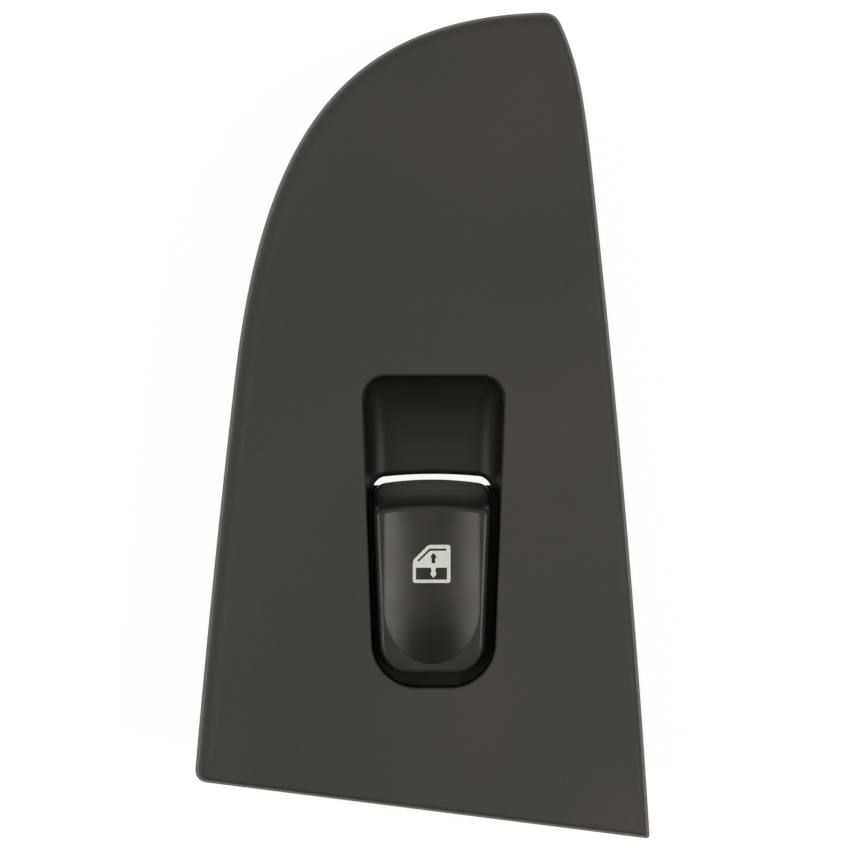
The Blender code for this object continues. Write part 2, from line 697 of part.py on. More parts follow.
def panel_shell(outer, material):
    """The panel's skirt, show face and the collar round its recess, as one closed section swept round."""
    recess = Outline(RECESS.loop(), outer.centre)
    angles = spread_angles(outer.angles + recess.angles, math.radians(0.35))
    rolls = [edge_roll(outer.normal(a)) for a in angles]
    tops = [crown(*outer.point(a, SKIRT_DRAFT + roll)) for a, roll in zip(angles, rolls)]
    edges = [recess.point(a, 0.0) for a in angles]

    def outer_ring(insets, heights):
        return [(*outer.point(a, inset), z) for a, inset, z in zip(angles, insets, heights)]

    def recess_ring(outset, heights):
        return [(*recess.point(a, -outset), z) for a, z in zip(angles, heights)]

    def top_ring(outset, drop):
        return recess_ring(outset, [crown(*recess.point(a, -outset)) - drop for a in angles])

    def between(first, second, share, drop):
        ring = []
        for p, q in zip(first, second):
            x, y = p[0] + (q[0] - p[0]) * share, p[1] + (q[1] - p[1]) * share
            ring.append((x, y, crown(x, y) - drop))
        return ring

    rings = [outer_ring([0.0] * len(angles), [0.0] * len(angles))]
    roll_steps = 4
    for k in range(roll_steps + 1):
        turn = k / roll_steps * math.pi / 2
        insets = [SKIRT_DRAFT + roll * (1 - math.cos(turn)) for roll in rolls]
        heights = [top - roll * ROLL_DROP_RATIO * (1 - math.sin(turn)) for top, roll in zip(tops, rolls)]
        rings.append(outer_ring(insets, heights))
    roll_end = rings[-1]
    recess_start = top_ring(RECESS_EDGE_RADIUS, 0.0)
    rings.append(between(roll_end, recess_start, 1 / 3, 0.0))
    rings.append(between(roll_end, recess_start, 2 / 3, 0.0))
    rings.append(recess_start)
    edge_steps = 3
    for k in range(1, edge_steps + 1):
        turn = k / edge_steps * math.pi / 2
        fall = RECESS_EDGE_RADIUS * (1 - math.cos(turn))
        outset = RECESS_EDGE_RADIUS * (1 - math.sin(turn))
        rings.append(recess_ring(outset, [crown(*edge) - fall for edge in edges]))
    ends = [collar_end_z(edge[1]) for edge in edges]
    rings.append(recess_ring(-RECESS_DRAFT, ends))
    rings.append(recess_ring(COLLAR_WALL - RECESS_DRAFT, ends))
    collar_top = top_ring(COLLAR_WALL, PANEL_WALL)
    under_insets = [SKIRT_DRAFT + roll * UNDER_ROLL_RATIO + PANEL_WALL for roll in rolls]
    under_roll = outer_ring(under_insets, [top - PANEL_WALL for top in tops])
    rings.append(collar_top)
    rings.append(between(collar_top, under_roll, 1 / 2, PANEL_WALL))
    rings.append(under_roll)
    skirt_insets = [SKIRT_DRAFT + PANEL_WALL] * len(angles)
    skirt_heights = [top - roll * UNDER_ROLL_DROP_RATIO - PANEL_WALL for top, roll in zip(tops, rolls)]
    rings.append(outer_ring(skirt_insets, skirt_heights))
    rings.append(outer_ring([PANEL_WALL] * len(angles), [0.0] * len(angles)))
    return ring_solid("trim_panel", rings, material)


def scoop_floor_z(y):
    """Height of the scoop's floor on its centre line, steep at the front wall and level at the lip."""
    share = min(max((y - SCOOP_LIP_Y) / (RECESS_FRONT_Y - SCOOP_LIP_Y), 0.0), 1.0)
    bowl = 1 - math.sqrt(1 - share**2)
    fall = PANEL_HEIGHT - SCOOP_EDGE_DEPTH - SCOOP_LIP_Z
    return SCOOP_LIP_Z + fall * (SCOOP_BOWL_SHARE * bowl + (1 - SCOOP_BOWL_SHARE) * share**2)


def scoop_columns(half):
    """Places across the scoop, closer together over the corners of its lip, which follow the toe's corners."""
    corner_steps, middle_steps = 4, 3
    horn = math.radians(LIP_HORN_TURN_DEG)
    turns = [horn + (math.pi / 2 - horn) * i / corner_steps for i in range(corner_steps + 1)]
    corner_x = TOE_HALF_WIDTH - TOE_CORNER_RADIUS
    reaches = [corner_x + (TOE_CORNER_RADIUS + HORN_GAP) * math.cos(turn) for turn in turns]
    reaches += [corner_x * (1 - i / middle_steps) for i in range(1, middle_steps)]
    inner = [MODULE_X - x for x in reaches] + [MODULE_X] + [MODULE_X + x for x in reversed(reaches)]
    widening = half / (RECESS.half_width(SCOOP_LIP_Y) - RECESS_DRAFT)
    inner = [x * widening for x in inner]
    cheeks = [(inner[0] - half) / 2, (inner[-1] + half) / 2]
    return [-half - EMBED, -half, cheeks[0], *inner, cheeks[1], half, half + EMBED]


def lip_setback(x):
    """How far the scoop's lip reaches back: arched in the middle, with a rounded corner about the toe's corner."""
    corner_x = TOE_HALF_WIDTH - TOE_CORNER_RADIUS
    widest = math.cos(math.radians(LIP_HORN_TURN_DEG))
    share = min(max((abs(x - MODULE_X) - corner_x) / (TOE_CORNER_RADIUS + HORN_GAP), 0.0), widest)
    corner = (TOE_CORNER_RADIUS + SLIT_WIDTH) * (1 - math.sqrt(1 - share**2))
    return x**2 / (2 * LIP_ARCH_RADIUS) + corner


def scoop_trough():
    """The scoop: a trough from the recess's front wall down to a rounded, arched lip beside the rocker."""
    edge_z = PANEL_HEIGHT - SCOOP_EDGE_DEPTH
    roll_y = SCOOP_LIP_Y + SCOOP_LIP_ROLL
    steps, roll_steps = 10, 3
    ys = [RECESS_FRONT_Y + EMBED]
    ys += [roll_y + (RECESS_FRONT_Y - roll_y) * math.cos(i / steps * math.pi / 2) for i in range(steps + 1)]
    ys += [roll_y - SCOOP_LIP_ROLL * math.sin(i / roll_steps * math.pi / 2) for i in range(1, roll_steps + 1)]
    rows = []
    for y in ys:
        half = RECESS.half_width(y) - RECESS_DRAFT
        floor = scoop_floor_z(y)
        into_roll = min(max((roll_y - y) / SCOOP_LIP_ROLL, 0.0), 1.0)
        roll_drop = SCOOP_LIP_ROLL * (1 - math.sqrt(1 - into_roll**2))
        towards_lip = min(max((RECESS_FRONT_Y - y) / (RECESS_FRONT_Y - SCOOP_LIP_Y), 0.0), 1.0)
        row = []
        for x in scoop_columns(half):
            from_wall = max(half - abs(x), 0.0)
            into_fillet = max(SCOOP_SIDE_FILLET - from_wall, 0.0)
            rise = SCOOP_SIDE_FILLET - math.sqrt(SCOOP_SIDE_FILLET**2 - into_fillet**2)
            upper = min(floor + rise, edge_z) - roll_drop
            lower = min(floor - SCOOP_WALL, upper - EMBED)
            arched_y = y - lip_setback(x) * towards_lip**2
            row.append(((x, arched_y, upper), (x, arched_y, lower)))
        rows.append(row)
    return slab("scoop_trough", rows)


def panel_wall(start, end, thickness, bottom_z):
    """An upright wall on the panel's underside from one point to another, reaching up into the panel."""
    start, end = np.array(start), np.array(end)
    along = (end - start) / np.linalg.norm(end - start)
    side = np.array((-along[1], along[0])) * thickness / 2
    stations = 6
    rows = []
    for i in range(stations + 1):
        middle = start + (end - start) * i / stations
        row = []
        for edge in (middle - side, middle + side):
            row.append(((*edge, crown(*edge) - PANEL_WALL / 2), (*edge, bottom_z)))
        rows.append(row)
    return slab("panel_wall", rows)


def rest_post():
    """The cross-shaped post whose flat end rests on the door."""
    half = POST_LENGTH / 2
    return [
        panel_wall((-half, 0.0), (half, 0.0), POST_RIB, 0.0),
        panel_wall((0.0, -half), (0.0, half), POST_RIB, 0.0),
    ]


def cross_ribs(outer):
    """Stiffening ribs that run from one side of the skirt to the other."""
    ribs = []
    for y in (UPPER_RIB_Y, 0.0, PANEL_BOTTOM_LEFT[1] + LOWER_RIB_SETBACK):
        start = (outer.edge_x(y, -1, SKIRT_DRAFT + PANEL_WALL / 2), y)
        end = (outer.edge_x(y, 1, SKIRT_DRAFT + PANEL_WALL / 2), y)
        bottom = min(crown(*start), crown(*end)) - PANEL_WALL - RIB_DEPTH
        ribs.append(panel_wall(start, end, RIB_THICKNESS, bottom))
    return ribs


def clip_points(outer):
    """Where the spring clips sit, each at an even distance inside the skirt."""
    return [(outer.edge_x(y, side, PANEL_WALL / 2) - side * CLIP_INSET, y) for y, side in CLIP_STATIONS]


def clip_tabs(points):
    """Blades under the panel that the spring clips slide onto, each braced by two gussets."""
    half = TAB_WIDTH / 2
    brace_z = TAB_END_Z + CLIP_LENGTH
    tabs = []
    for x, y in points:
        tabs.append(panel_wall((x - half, y), (x + half, y), TAB_THICKNESS, TAB_END_Z))
        for side in (-1, 1):
            edge = x + side * (half - RIB_THICKNESS)
            tabs.append(panel_wall((edge, y - half), (edge, y + half), RIB_THICKNESS, brace_z))
    return tabs


def screw_bosses():
    """Posts under the panel that the module's ears are screwed to."""
    return [post(BOSS_RADIUS, point, DECK_Z + GAP, crown(*point) - PANEL_WALL / 2) for point in SCREW_POINTS]


def screw_holes(radius, end_z):
    """Straight holes for the module screws, from below the ears up to a level."""
    return [post(radius, point, DECK_Z - 2 * EAR_THICKNESS, end_z, steps=20) for point in SCREW_POINTS]


def make_trim_panel(outer, material):
    """The moulded panel, with its scoop, ribs, rest post, clip tabs and screw bosses."""
    pilot_end = DECK_Z - EAR_THICKNESS + SCREW_LENGTH + SCREW_POINT_LENGTH
    panel = panel_shell(outer, material)
    add(panel, scoop_trough(), *cross_ribs(outer), *rest_post())
    add(panel, *clip_tabs(clip_points(outer)), *screw_bosses())
    cut(panel, *screw_holes(SCREW_RADIUS + GAP, pilot_end))
    return finish(panel, (0.0, 0.0, 0.0))


def make_spring_clip(number, point, material):
    """A folded spring clip: a U of sheet metal on a tab, with a barb bulging from each leg."""
    x, y = point
    leg = TAB_THICKNESS / 2 + GAP + CLIP_SHEET / 2
    bottom = TAB_END_Z - GAP - CLIP_SHEET / 2
    right_leg = [
        (leg, bottom + CLIP_LENGTH),
        (leg, bottom + CLIP_SHOULDER_HEIGHT),
        (leg + CLIP_BARB, bottom + CLIP_BARB_HEIGHT),
        (leg, bottom + CLIP_SHEET),
        (leg - CLIP_SHEET, bottom),
    ]
    centre_line = right_leg + [(-a, b) for a, b in reversed(right_leg)]
    outline = [(y + a, b) for a, b in ribbon(centre_line, CLIP_SHEET)]
    half = CLIP_WIDTH / 2
    clip = extruded(f"spring_clip_{number}", outline, x - half, x + half, "X", material)
    return finish(clip, (x, y, bottom))


def rocker_top_z(y):
    """Height of the rocker's top along its centre line, before the dish."""
    return ROCKER_CREST_Z - (y - ROCKER_CREST_Y) ** 2 / (2 * ROCKER_TOP_RADIUS)


def rocker_under_z(y):
    """Height of the rocker's lower edge, which rises both ways from the pivot so that it can tilt."""
    return PIVOT_Z - KNUCKLE + abs(y - PIVOT_Y) * math.tan(RELIEF_ANGLE)


def rocker_profile():
    """The rocker's upper line from toe to heel, as (y, z, share of the dish's depth) points."""
    lip_y = ROCKER_LIP_Y - ROCKER_LIP_RADIUS
    wall_top = rocker_top_z(lip_y) - ROCKER_LIP_RADIUS
    heel_y = ROCKER_REAR_Y + ROCKER_EDGE_RADIUS
    heel_z = rocker_top_z(heel_y) - ROCKER_EDGE_RADIUS
    lip_steps, top_steps, end_steps, heel_steps = 3, 4, 9, 3
    line = []
    for degrees in TOE_ROW_TURNS_DEG:
        turn = math.radians(degrees)
        sweep_y = TOE_Y - ROCKER_LIP_SETBACK * math.sin(turn)
        line.append((sweep_y, wall_top - (wall_top - SCOOP_LIP_Z) * math.cos(turn), math.sin(turn)))
    for i in range(lip_steps):
        turn = i / lip_steps * math.pi / 2
        rise = ROCKER_LIP_RADIUS * math.sin(turn)
        line.append((lip_y + ROCKER_LIP_RADIUS * math.cos(turn), wall_top + rise, 1.0))
    top_ys = [lip_y + (DISH_TURN_Y - lip_y) * i / top_steps for i in range(top_steps)]
    top_ys += [DISH_TURN_Y - DISH_END_LENGTH * math.sin(i / end_steps * math.pi / 2) for i in range(end_steps + 1)]
    line += [(y, rocker_top_z(y), 1.0) for y in top_ys]
    for i in range(heel_steps + 1):
        turn = i / heel_steps * math.pi / 2
        heel = heel_z + ROCKER_EDGE_RADIUS * math.cos(turn)
        line.append((heel_y - ROCKER_EDGE_RADIUS * math.sin(turn), heel, 0.0))
    return line


def rocker_side_drop(x, half):
    """How far the top has fallen at a place across the rocker, by its slight crown and its rounded edge."""
    into_edge = max(abs(x) - (half - ROCKER_EDGE_RADIUS), 0.0)
    edge_drop = ROCKER_EDGE_RADIUS - math.sqrt(max(ROCKER_EDGE_RADIUS**2 - into_edge**2, 0.0))
    return ROCKER_SIDE_FALL * (x / half) ** 2 + edge_drop


def dish_end_share(y):
    """How far a place lies along the dish's rounded end, from 0 where its sides are straight to 1 at its tip."""
    return min(max((DISH_TURN_Y - y) / DISH_END_LENGTH, 0.0), 1.0)


def dish_depth(x, y):
    """Depth of the thumb dish, a trough with a rounded end."""
    return DISH_DEPTH * max(1 - dish_end_share(y) ** 2 - (x / DISH_HALF_WIDTH) ** 2, 0.0)


def rocker_columns(y, half):
    """Places across the rocker: its rounded edges, the rims of the dish and the dish between them."""
    edge_steps, dish_steps = 3, 6
    turns = [i / edge_steps * math.pi / 2 for i in range(edge_steps + 1)]
    right = [half - ROCKER_EDGE_RADIUS * (1 - math.cos(turn)) for turn in turns]
    rim = min(DISH_HALF_WIDTH, right[-1] * DISH_TIP_SHARE)
    rim *= math.sqrt(1 - min(dish_end_share(y), DISH_TIP_SHARE) ** 2)
    right += [rim * (1 - i / dish_steps) for i in range(dish_steps)]
    return [-x for x in right] + [0.0] + right[::-1]


def rocker_blank(material):
    """The rocker's outer form, solid: concave front, rounded lip, crowned and dished top, rounded heel."""
    rows = []
    for y, z, dished in rocker_profile():
        half = ROCKER.half_width(y)
        arch_share = min(max((y - PIVOT_Y) / (ROCKER_LIP_Y - PIVOT_Y), 0.0), 1.0)
        row = []
        for x in rocker_columns(y, half):
            arched_y = y - x**2 / (2 * TOE_ARCH_RADIUS) * arch_share**2
            upper = z - rocker_side_drop(x, half) - dish_depth(x, y) * dished
            row.append(((MODULE_X + x, arched_y, upper), (MODULE_X + x, arched_y, rocker_under_z(y))))
        rows.append(row)
    return slab("rocker_knob", rows, material)


def rocker_hollow():
    """The space under the rocker's skin, as a cutter: its side view, kept within the walls all round."""
    lip_y = ROCKER_LIP_Y - ROCKER_LIP_RADIUS
    wall_top = rocker_top_z(lip_y) - ROCKER_LIP_RADIUS
    run = ROCKER_LIP_SETBACK + ROCKER_SIDE_WALL
    rise = wall_top - SCOOP_LIP_Z + ROCKER_SIDE_WALL
    front_y = TOE_Y - run
    heel_y = ROCKER_REAR_Y + ROCKER_SIDE_WALL
    floor_z = rocker_under_z(PIVOT_Y) - EMBED
    ceiling_steps, front_steps = 8, 6
    ceiling = [heel_y + (front_y - heel_y) * i / ceiling_steps for i in range(ceiling_steps)]
    side_view = [(heel_y, floor_z)] + [(y, rocker_top_z(y) - ROCKER_TOP_WALL) for y in ceiling]
    first = math.acos((wall_top - rocker_top_z(front_y) + ROCKER_TOP_WALL) / rise)
    last = math.asin(TOE_SHELF / run)
    for i in range(front_steps + 1):
        turn = first + (last - first) * i / front_steps
        side_view.append((TOE_Y - run * math.sin(turn), wall_top - rise * math.cos(turn)))
    side_view.append((side_view[-1][0], floor_z))
    hollow = extruded("hollow", side_view, MODULE_X - TOE_HALF_WIDTH, MODULE_X + TOE_HALF_WIDTH, "X")
    plan = ROCKER.grown(-ROCKER_SIDE_WALL).loop(MODULE_X)
    return combine(hollow, extruded("plan", plan, floor_z - EMBED, ROCKER_CREST_Z), "INTERSECT")


def make_rocker_knob(parent, material):
    """The rocker: a hollow moulding with two trunnion holes and a barrel for each plunger."""
    knob = rocker_blank(material)
    cut(knob, rocker_hollow())
    ceiling = rocker_top_z(PIVOT_Y) - ROCKER_TOP_WALL + EMBED
    outside = TOE_HALF_WIDTH + EMBED
    for side in (-1, 1):
        centre = (MODULE_X + side * PLUNGER_X, PIVOT_Y)
        add(knob, post(BARREL_RADIUS, centre, BARREL_END_Z, ceiling))
        cut(knob, post(BORE_RADIUS, centre, BARREL_END_Z - EMBED, SPRING_CHAMBER_Z))
        x0, x1 = sorted((MODULE_X + side * CHIMNEY_HALF_WIDTH, MODULE_X + side * outside))
        cut(knob, cross_pin(TRUNNION_RADIUS + GAP, x0, x1, PIVOT_Y, PIVOT_Z))
    return finish(knob, (MODULE_X, PIVOT_Y, PIVOT_Z), parent)


def make_plunger(name, side, parent, material):
    """A round-tipped plunger with a pin that centres its spring."""
    centre = (MODULE_X + side * PLUNGER_X, PIVOT_Y)
    tip_centre = PLUNGER_TIP_Z + PLUNGER_RADIUS
    top = PLUNGER_TIP_Z + PLUNGER_LENGTH
    steps = 5
    profile = []
    for i in range(steps + 1):
        turn = i / steps * math.pi / 2
        profile.append((PLUNGER_RADIUS * math.sin(turn), tip_centre - PLUNGER_RADIUS * math.cos(turn)))
    profile += [(PLUNGER_RADIUS, top), (SPRING_SEAT_RADIUS, top), (SPRING_SEAT_RADIUS, top + SPRING_SEAT_LENGTH)]
    return finish(turned(name, profile, centre, 20, material), (*centre, PLUNGER_TIP_Z), parent)


def make_plunger_spring(name, side, parent, material):
    """A coil spring between a plunger and the end of its chamber."""
    centre_x = MODULE_X + side * PLUNGER_X
    low = PLUNGER_TIP_Z + PLUNGER_LENGTH + GAP + SPRING_WIRE / 2
    high = SPRING_CHAMBER_Z - GAP - SPRING_WIRE / 2
    coil_radius = BORE_RADIUS - SLIDING_GAP - SPRING_WIRE / 2
    per_turn, sides = 12, 5
    count = per_turn * SPRING_TURNS
    slope = (high - low) / (2 * math.pi * SPRING_TURNS * coil_radius)
    rings = []
    for i in range(count + 1):
        turn = 2 * math.pi * i / per_turn
        outward = Vector((math.cos(turn), math.sin(turn), 0.0))
        forward = Vector((-math.sin(turn), math.cos(turn), slope)).normalized()
        upward = outward.cross(forward)
        middle = Vector((centre_x, PIVOT_Y, low + (high - low) * i / count)) + outward * coil_radius
        ring = []
        for k in range(sides):
            around = 2 * math.pi * k / sides
            ring.append(middle + (outward * math.cos(around) + upward * math.sin(around)) * SPRING_WIRE / 2)
        rings.append(ring)
    points = [p for ring in rings for p in ring]
    faces = [tuple(range(sides)), tuple(range(count * sides, (count + 1) * sides))]
    for i in range(count):
        for k in range(sides):
            m = (k + 1) % sides
            faces.append((i * sides + k, i * sides + m, (i + 1) * sides + m, (i + 1) * sides + k))
    spring = make_object(name, points, faces, material, bent=True)
    return finish(spring, (centre_x, PIVOT_Y, low), parent, math.radians(80))


def ear(point, root):
    """A screw ear: a plate from the housing that ends in a half circle round the screw."""
    point, root = np.array(point), np.array(root)
    along = (point - root) / np.linalg.norm(point - root)
    side = np.array((-along[1], along[0]))
    steps = 12
    outline = [root + side * EAR_RADIUS, root - side * EAR_RADIUS]
    for i in range(steps + 1):
        turn = i / steps * math.pi
        outline.append(point + EAR_RADIUS * (along * math.sin(turn) - side * math.cos(turn)))
    return extruded("ear", outline, DECK_Z - EAR_THICKNESS, DECK_Z)


def snap_stations():
    """The places along the module of the snap windows and hooks."""
    return (PIVOT_Y + SNAP_WINDOW_REACH, PIVOT_Y - SNAP_WINDOW_REACH)


def make_switch_housing(material):
    """The housing: a deck under the recess, a chimney that carries the rocker, a box skirt and screw ears."""
    deck_half = RECESS.half_width(DECK_FRONT_Y) + COLLAR_WALL + DECK_MARGIN
    rear_half = RECESS_REAR_HALF_WIDTH + COLLAR_WALL + DECK_MARGIN
    rear_corner = RECESS_REAR_CORNER + COLLAR_WALL + DECK_MARGIN
    deck = TaperedOutline(DECK_FRONT_Y, DECK_REAR_Y, deck_half, rear_half, DECK_FRONT_CORNER, rear_corner)
    housing = extruded("switch_housing", deck.loop(), DECK_Z - DECK_THICKNESS, DECK_Z, "Z", material)
    inside = HOUSING_HALF_WIDTH - HOUSING_WALL
    deck_core = DECK_Z - DECK_THICKNESS / 2
    for point in SCREW_POINTS[:2]:
        add(housing, ear(point, (MODULE_X, point[1])))
    add(housing, ear(SCREW_POINTS[2], (MODULE_X, PIVOT_Y)))
    add(housing, module_box(HOUSING_HALF_WIDTH, HOUSING_REAR_Y, HOUSING_FRONT_Y, HOUSING_END_Z, deck_core))
    cut(
        housing,
        module_box(
            inside,
            HOUSING_REAR_Y + HOUSING_WALL,
            HOUSING_FRONT_Y - HOUSING_WALL,
            HOUSING_END_Z - EMBED,
            DECK_Z - DECK_THICKNESS,
        ),
    )
    add(housing, module_box(CHIMNEY_HALF_WIDTH, CHIMNEY_REAR_Y, CHIMNEY_FRONT_Y, deck_core, CHIMNEY_TOP_Z))
    well_half = CHIMNEY_HALF_WIDTH - CHIMNEY_WALL
    well_rear = CHIMNEY_REAR_Y + CHIMNEY_WALL
    above = CHIMNEY_TOP_Z + EMBED
    cut(housing, module_box(well_half, well_rear, CHIMNEY_FRONT_Y - CHIMNEY_WALL, DECK_Z, above))
    well_front = SIGN_Y - LAMP_TUBE_RADIUS - GAP
    cut(housing, module_box(well_half, well_rear, well_front, DECK_Z - 2 * DECK_THICKNESS, above))
    sign_centre = (MODULE_X, SIGN_Y)
    add(housing, post(LAMP_TUBE_RADIUS, sign_centre, LAMP_TUBE_END_Z, deck_core))
    cut(housing, post(LAMP_TUBE_BORE, sign_centre, LAMP_TUBE_END_Z - EMBED, DECK_Z + EMBED))
    trunnion_reach = ROCKER.half_width(PIVOT_Y) - GAP
    for side in (-1, 1):
        root = MODULE_X + side * (CHIMNEY_HALF_WIDTH - CHIMNEY_WALL / 2)
        x0, x1 = sorted((root, MODULE_X + side * trunnion_reach))
        add(housing, cross_pin(TRUNNION_RADIUS, x0, x1, PIVOT_Y, PIVOT_Z))
        x0, x1 = sorted((MODULE_X + side * (inside - EMBED), MODULE_X + side * (HOUSING_HALF_WIDTH + EMBED)))
        half = SNAP_WINDOW_WIDTH / 2
        for y in snap_stations():
            top = SNAP_WINDOW_Z + SNAP_WINDOW_HEIGHT
            cut(housing, box("window", x0, x1, y - half, y + half, SNAP_WINDOW_Z, top))
    cut(housing, *screw_holes(SCREW_RADIUS + GAP, DECK_Z + EMBED))
    return finish(housing, (MODULE_X, PIVOT_Y, DECK_Z))


def terminal_pins():
    """The connector's pin places, by terminal."""
    return {
        "lamp_feed": (-PIN_OUTER_X, PIN_REAR_Y),
        "rest_left": (-PIN_OUTER_X, PIN_FRONT_Y),
        "common_left": (-PIN_INNER_X, PIN_FRONT_Y),
        "feed": (-PIN_INNER_X, PIN_REAR_Y),
        "rest_right": (PIN_INNER_X, PIN_FRONT_Y),
        "common_right": (PIN_OUTER_X, PIN_FRONT_Y),
        "lamp_ground": (PIN_OUTER_X, PIN_REAR_Y),
    }


def snap_hooks():
    """Ramped hooks on the base's rim, one in each window of the housing."""
    rim = HOUSING_HALF_WIDTH - HOUSING_WALL - GAP
    low = SNAP_WINDOW_Z + GAP
    high = SNAP_WINDOW_Z + SNAP_WINDOW_HEIGHT - GAP
    hooks = []
    for side in (-1, 1):
        outline = [
            (MODULE_X + side * (rim - BASE_RIM_WALL / 2), low),
            (MODULE_X + side * (rim + SNAP_HOOK_DEPTH), low),
            (MODULE_X + side * (rim + SNAP_HOOK_DEPTH / 3), high),
            (MODULE_X + side * (rim - BASE_RIM_WALL / 2), high),
        ]
        for y in snap_stations():
            half = SNAP_WINDOW_WIDTH / 2 - GAP
            hooks.append(extruded("hook", outline, y - half, y + half, "Y"))
    return hooks


def make_terminal_base(material):
    """The base that closes the housing: a plate with a snap rim, pin slots and the connector shroud."""
    base = box(
        "terminal_base",
        MODULE_X - HOUSING_HALF_WIDTH,
        MODULE_X + HOUSING_HALF_WIDTH,
        HOUSING_REAR_Y,
        HOUSING_FRONT_Y,
        PLATE_BOTTOM_Z,
        PLATE_TOP_Z,
        material,
    )
    rim_inset = HOUSING_WALL + GAP
    rim_rear, rim_front = HOUSING_REAR_Y + rim_inset, HOUSING_FRONT_Y - rim_inset
    rim_half = HOUSING_HALF_WIDTH - rim_inset
    rim_top = PLATE_TOP_Z + BASE_RIM_HEIGHT
    plate_core = PLATE_TOP_Z - BASE_PLATE_THICKNESS / 2
    add(base, module_box(rim_half, rim_rear, rim_front, plate_core, rim_top))
    inner_half = rim_half - BASE_RIM_WALL
    inner_rear, inner_front = rim_rear + BASE_RIM_WALL, rim_front - BASE_RIM_WALL
    cut(base, module_box(inner_half, inner_rear, inner_front, PLATE_TOP_Z, rim_top + EMBED))
    add(base, *snap_hooks())
    add(base, module_box(SHROUD_HALF_WIDTH, SHROUD_REAR_Y, SHROUD_FRONT_Y, SHROUD_END_Z, plate_core))
    bore_half = SHROUD_HALF_WIDTH - SHROUD_WALL
    bore_rear, bore_front = SHROUD_REAR_Y + SHROUD_WALL, SHROUD_FRONT_Y - SHROUD_WALL
    cut(base, module_box(bore_half, bore_rear, bore_front, SHROUD_END_Z - EMBED, PLATE_BOTTOM_Z))
    rib_low, rib_high = SHROUD_END_Z + SHROUD_WALL, PLATE_BOTTOM_Z + EMBED
    rib_rear, rib_front = bore_rear - SHROUD_WALL / 2, bore_rear + KEY_RIB_HEIGHT
    add(base, module_box(KEY_RIB_WIDTH / 2, rib_rear, rib_front, rib_low, rib_high))
    for x, y in terminal_pins().values():
        x0, x1 = MODULE_X + x - PIN_WIDTH / 2 - GAP, MODULE_X + x + PIN_WIDTH / 2 + GAP
        y0, y1 = y - PIN_THICKNESS / 2 - GAP, y + PIN_THICKNESS / 2 + GAP
        cut(base, box("slot", x0, x1, y0, y1, PLATE_BOTTOM_Z - EMBED, PLATE_TOP_Z + EMBED))
    return finish(base, (MODULE_X, PIVOT_Y, PLATE_BOTTOM_Z))


def terminal_strip(name, path, material, pads=()):
    """A flat terminal strip along a path on the base, with a round contact pad at each given place."""
    route = [(MODULE_X + x, y) for x, y in path]
    strip = extruded(name, ribbon(route, STRIP_WIDTH), STRIP_BOTTOM_Z, STRIP_TOP_Z, "Z", material)
    for x, y in pads:
        add(strip, post(PAD_RADIUS, (MODULE_X + x, y), STRIP_BOTTOM_Z, STRIP_TOP_Z, 16))
    return strip


def connector_pin(place):
    """A blade that stands down from a strip into the connector shroud, with a chamfered point."""
    x, y = MODULE_X + place[0], place[1]
    half = PIN_WIDTH / 2
    tip = PLATE_BOTTOM_Z - PIN_LENGTH
    outline = [
        (x - half, STRIP_TOP_Z),
        (x - half, tip + PIN_POINT),
        (x - half / 2, tip),
        (x + half / 2, tip),
        (x + half, tip + PIN_POINT),
        (x + half, STRIP_TOP_Z),
    ]
    return extruded("pin", outline, y - PIN_THICKNESS / 2, y + PIN_THICKNESS / 2, "Y")


def seesaw_pivot_y(side):
    """Where each contact rocks: one lies before the plungers' rest place and one behind it."""
    return PIVOT_Y + side * SEESAW_OFFSET


def rest_pad(side):
    """The pad that a contact's end rests on while nobody touches the rocker."""
    return (side * PLUNGER_X, seesaw_pivot_y(side) - side * SEESAW_ARM)


def feed_pad(side):
    """The pad that a contact's other end meets when the rocker is pressed or pulled."""
    return (side * PLUNGER_X, seesaw_pivot_y(side) + side * SEESAW_ARM)


def saddle(side):
    """The seat that a contact rocks on: a low block with a prong at each side of the contact."""
    centre = MODULE_X + side * PLUNGER_X
    inner = CONTACT_WIDTH / 2 + GAP
    outer = inner + PRONG_THICKNESS
    low, seat = STRIP_TOP_Z, SEESAW_Z - GAP
    high = SEESAW_Z + CONTACT_THICKNESS + PRONG_RISE
    outline = [
        (centre - outer, low - STRIP_THICKNESS),
        (centre + outer, low - STRIP_THICKNESS),
        (centre + outer, high),
        (centre + inner, high),
        (centre + inner, seat),
        (centre - inner, seat),
        (centre - inner, high),
        (centre - outer, high),
    ]
    y = seesaw_pivot_y(side)
    return extruded("saddle", outline, y - SADDLE_LENGTH / 2, y + SADDLE_LENGTH / 2, "Y")


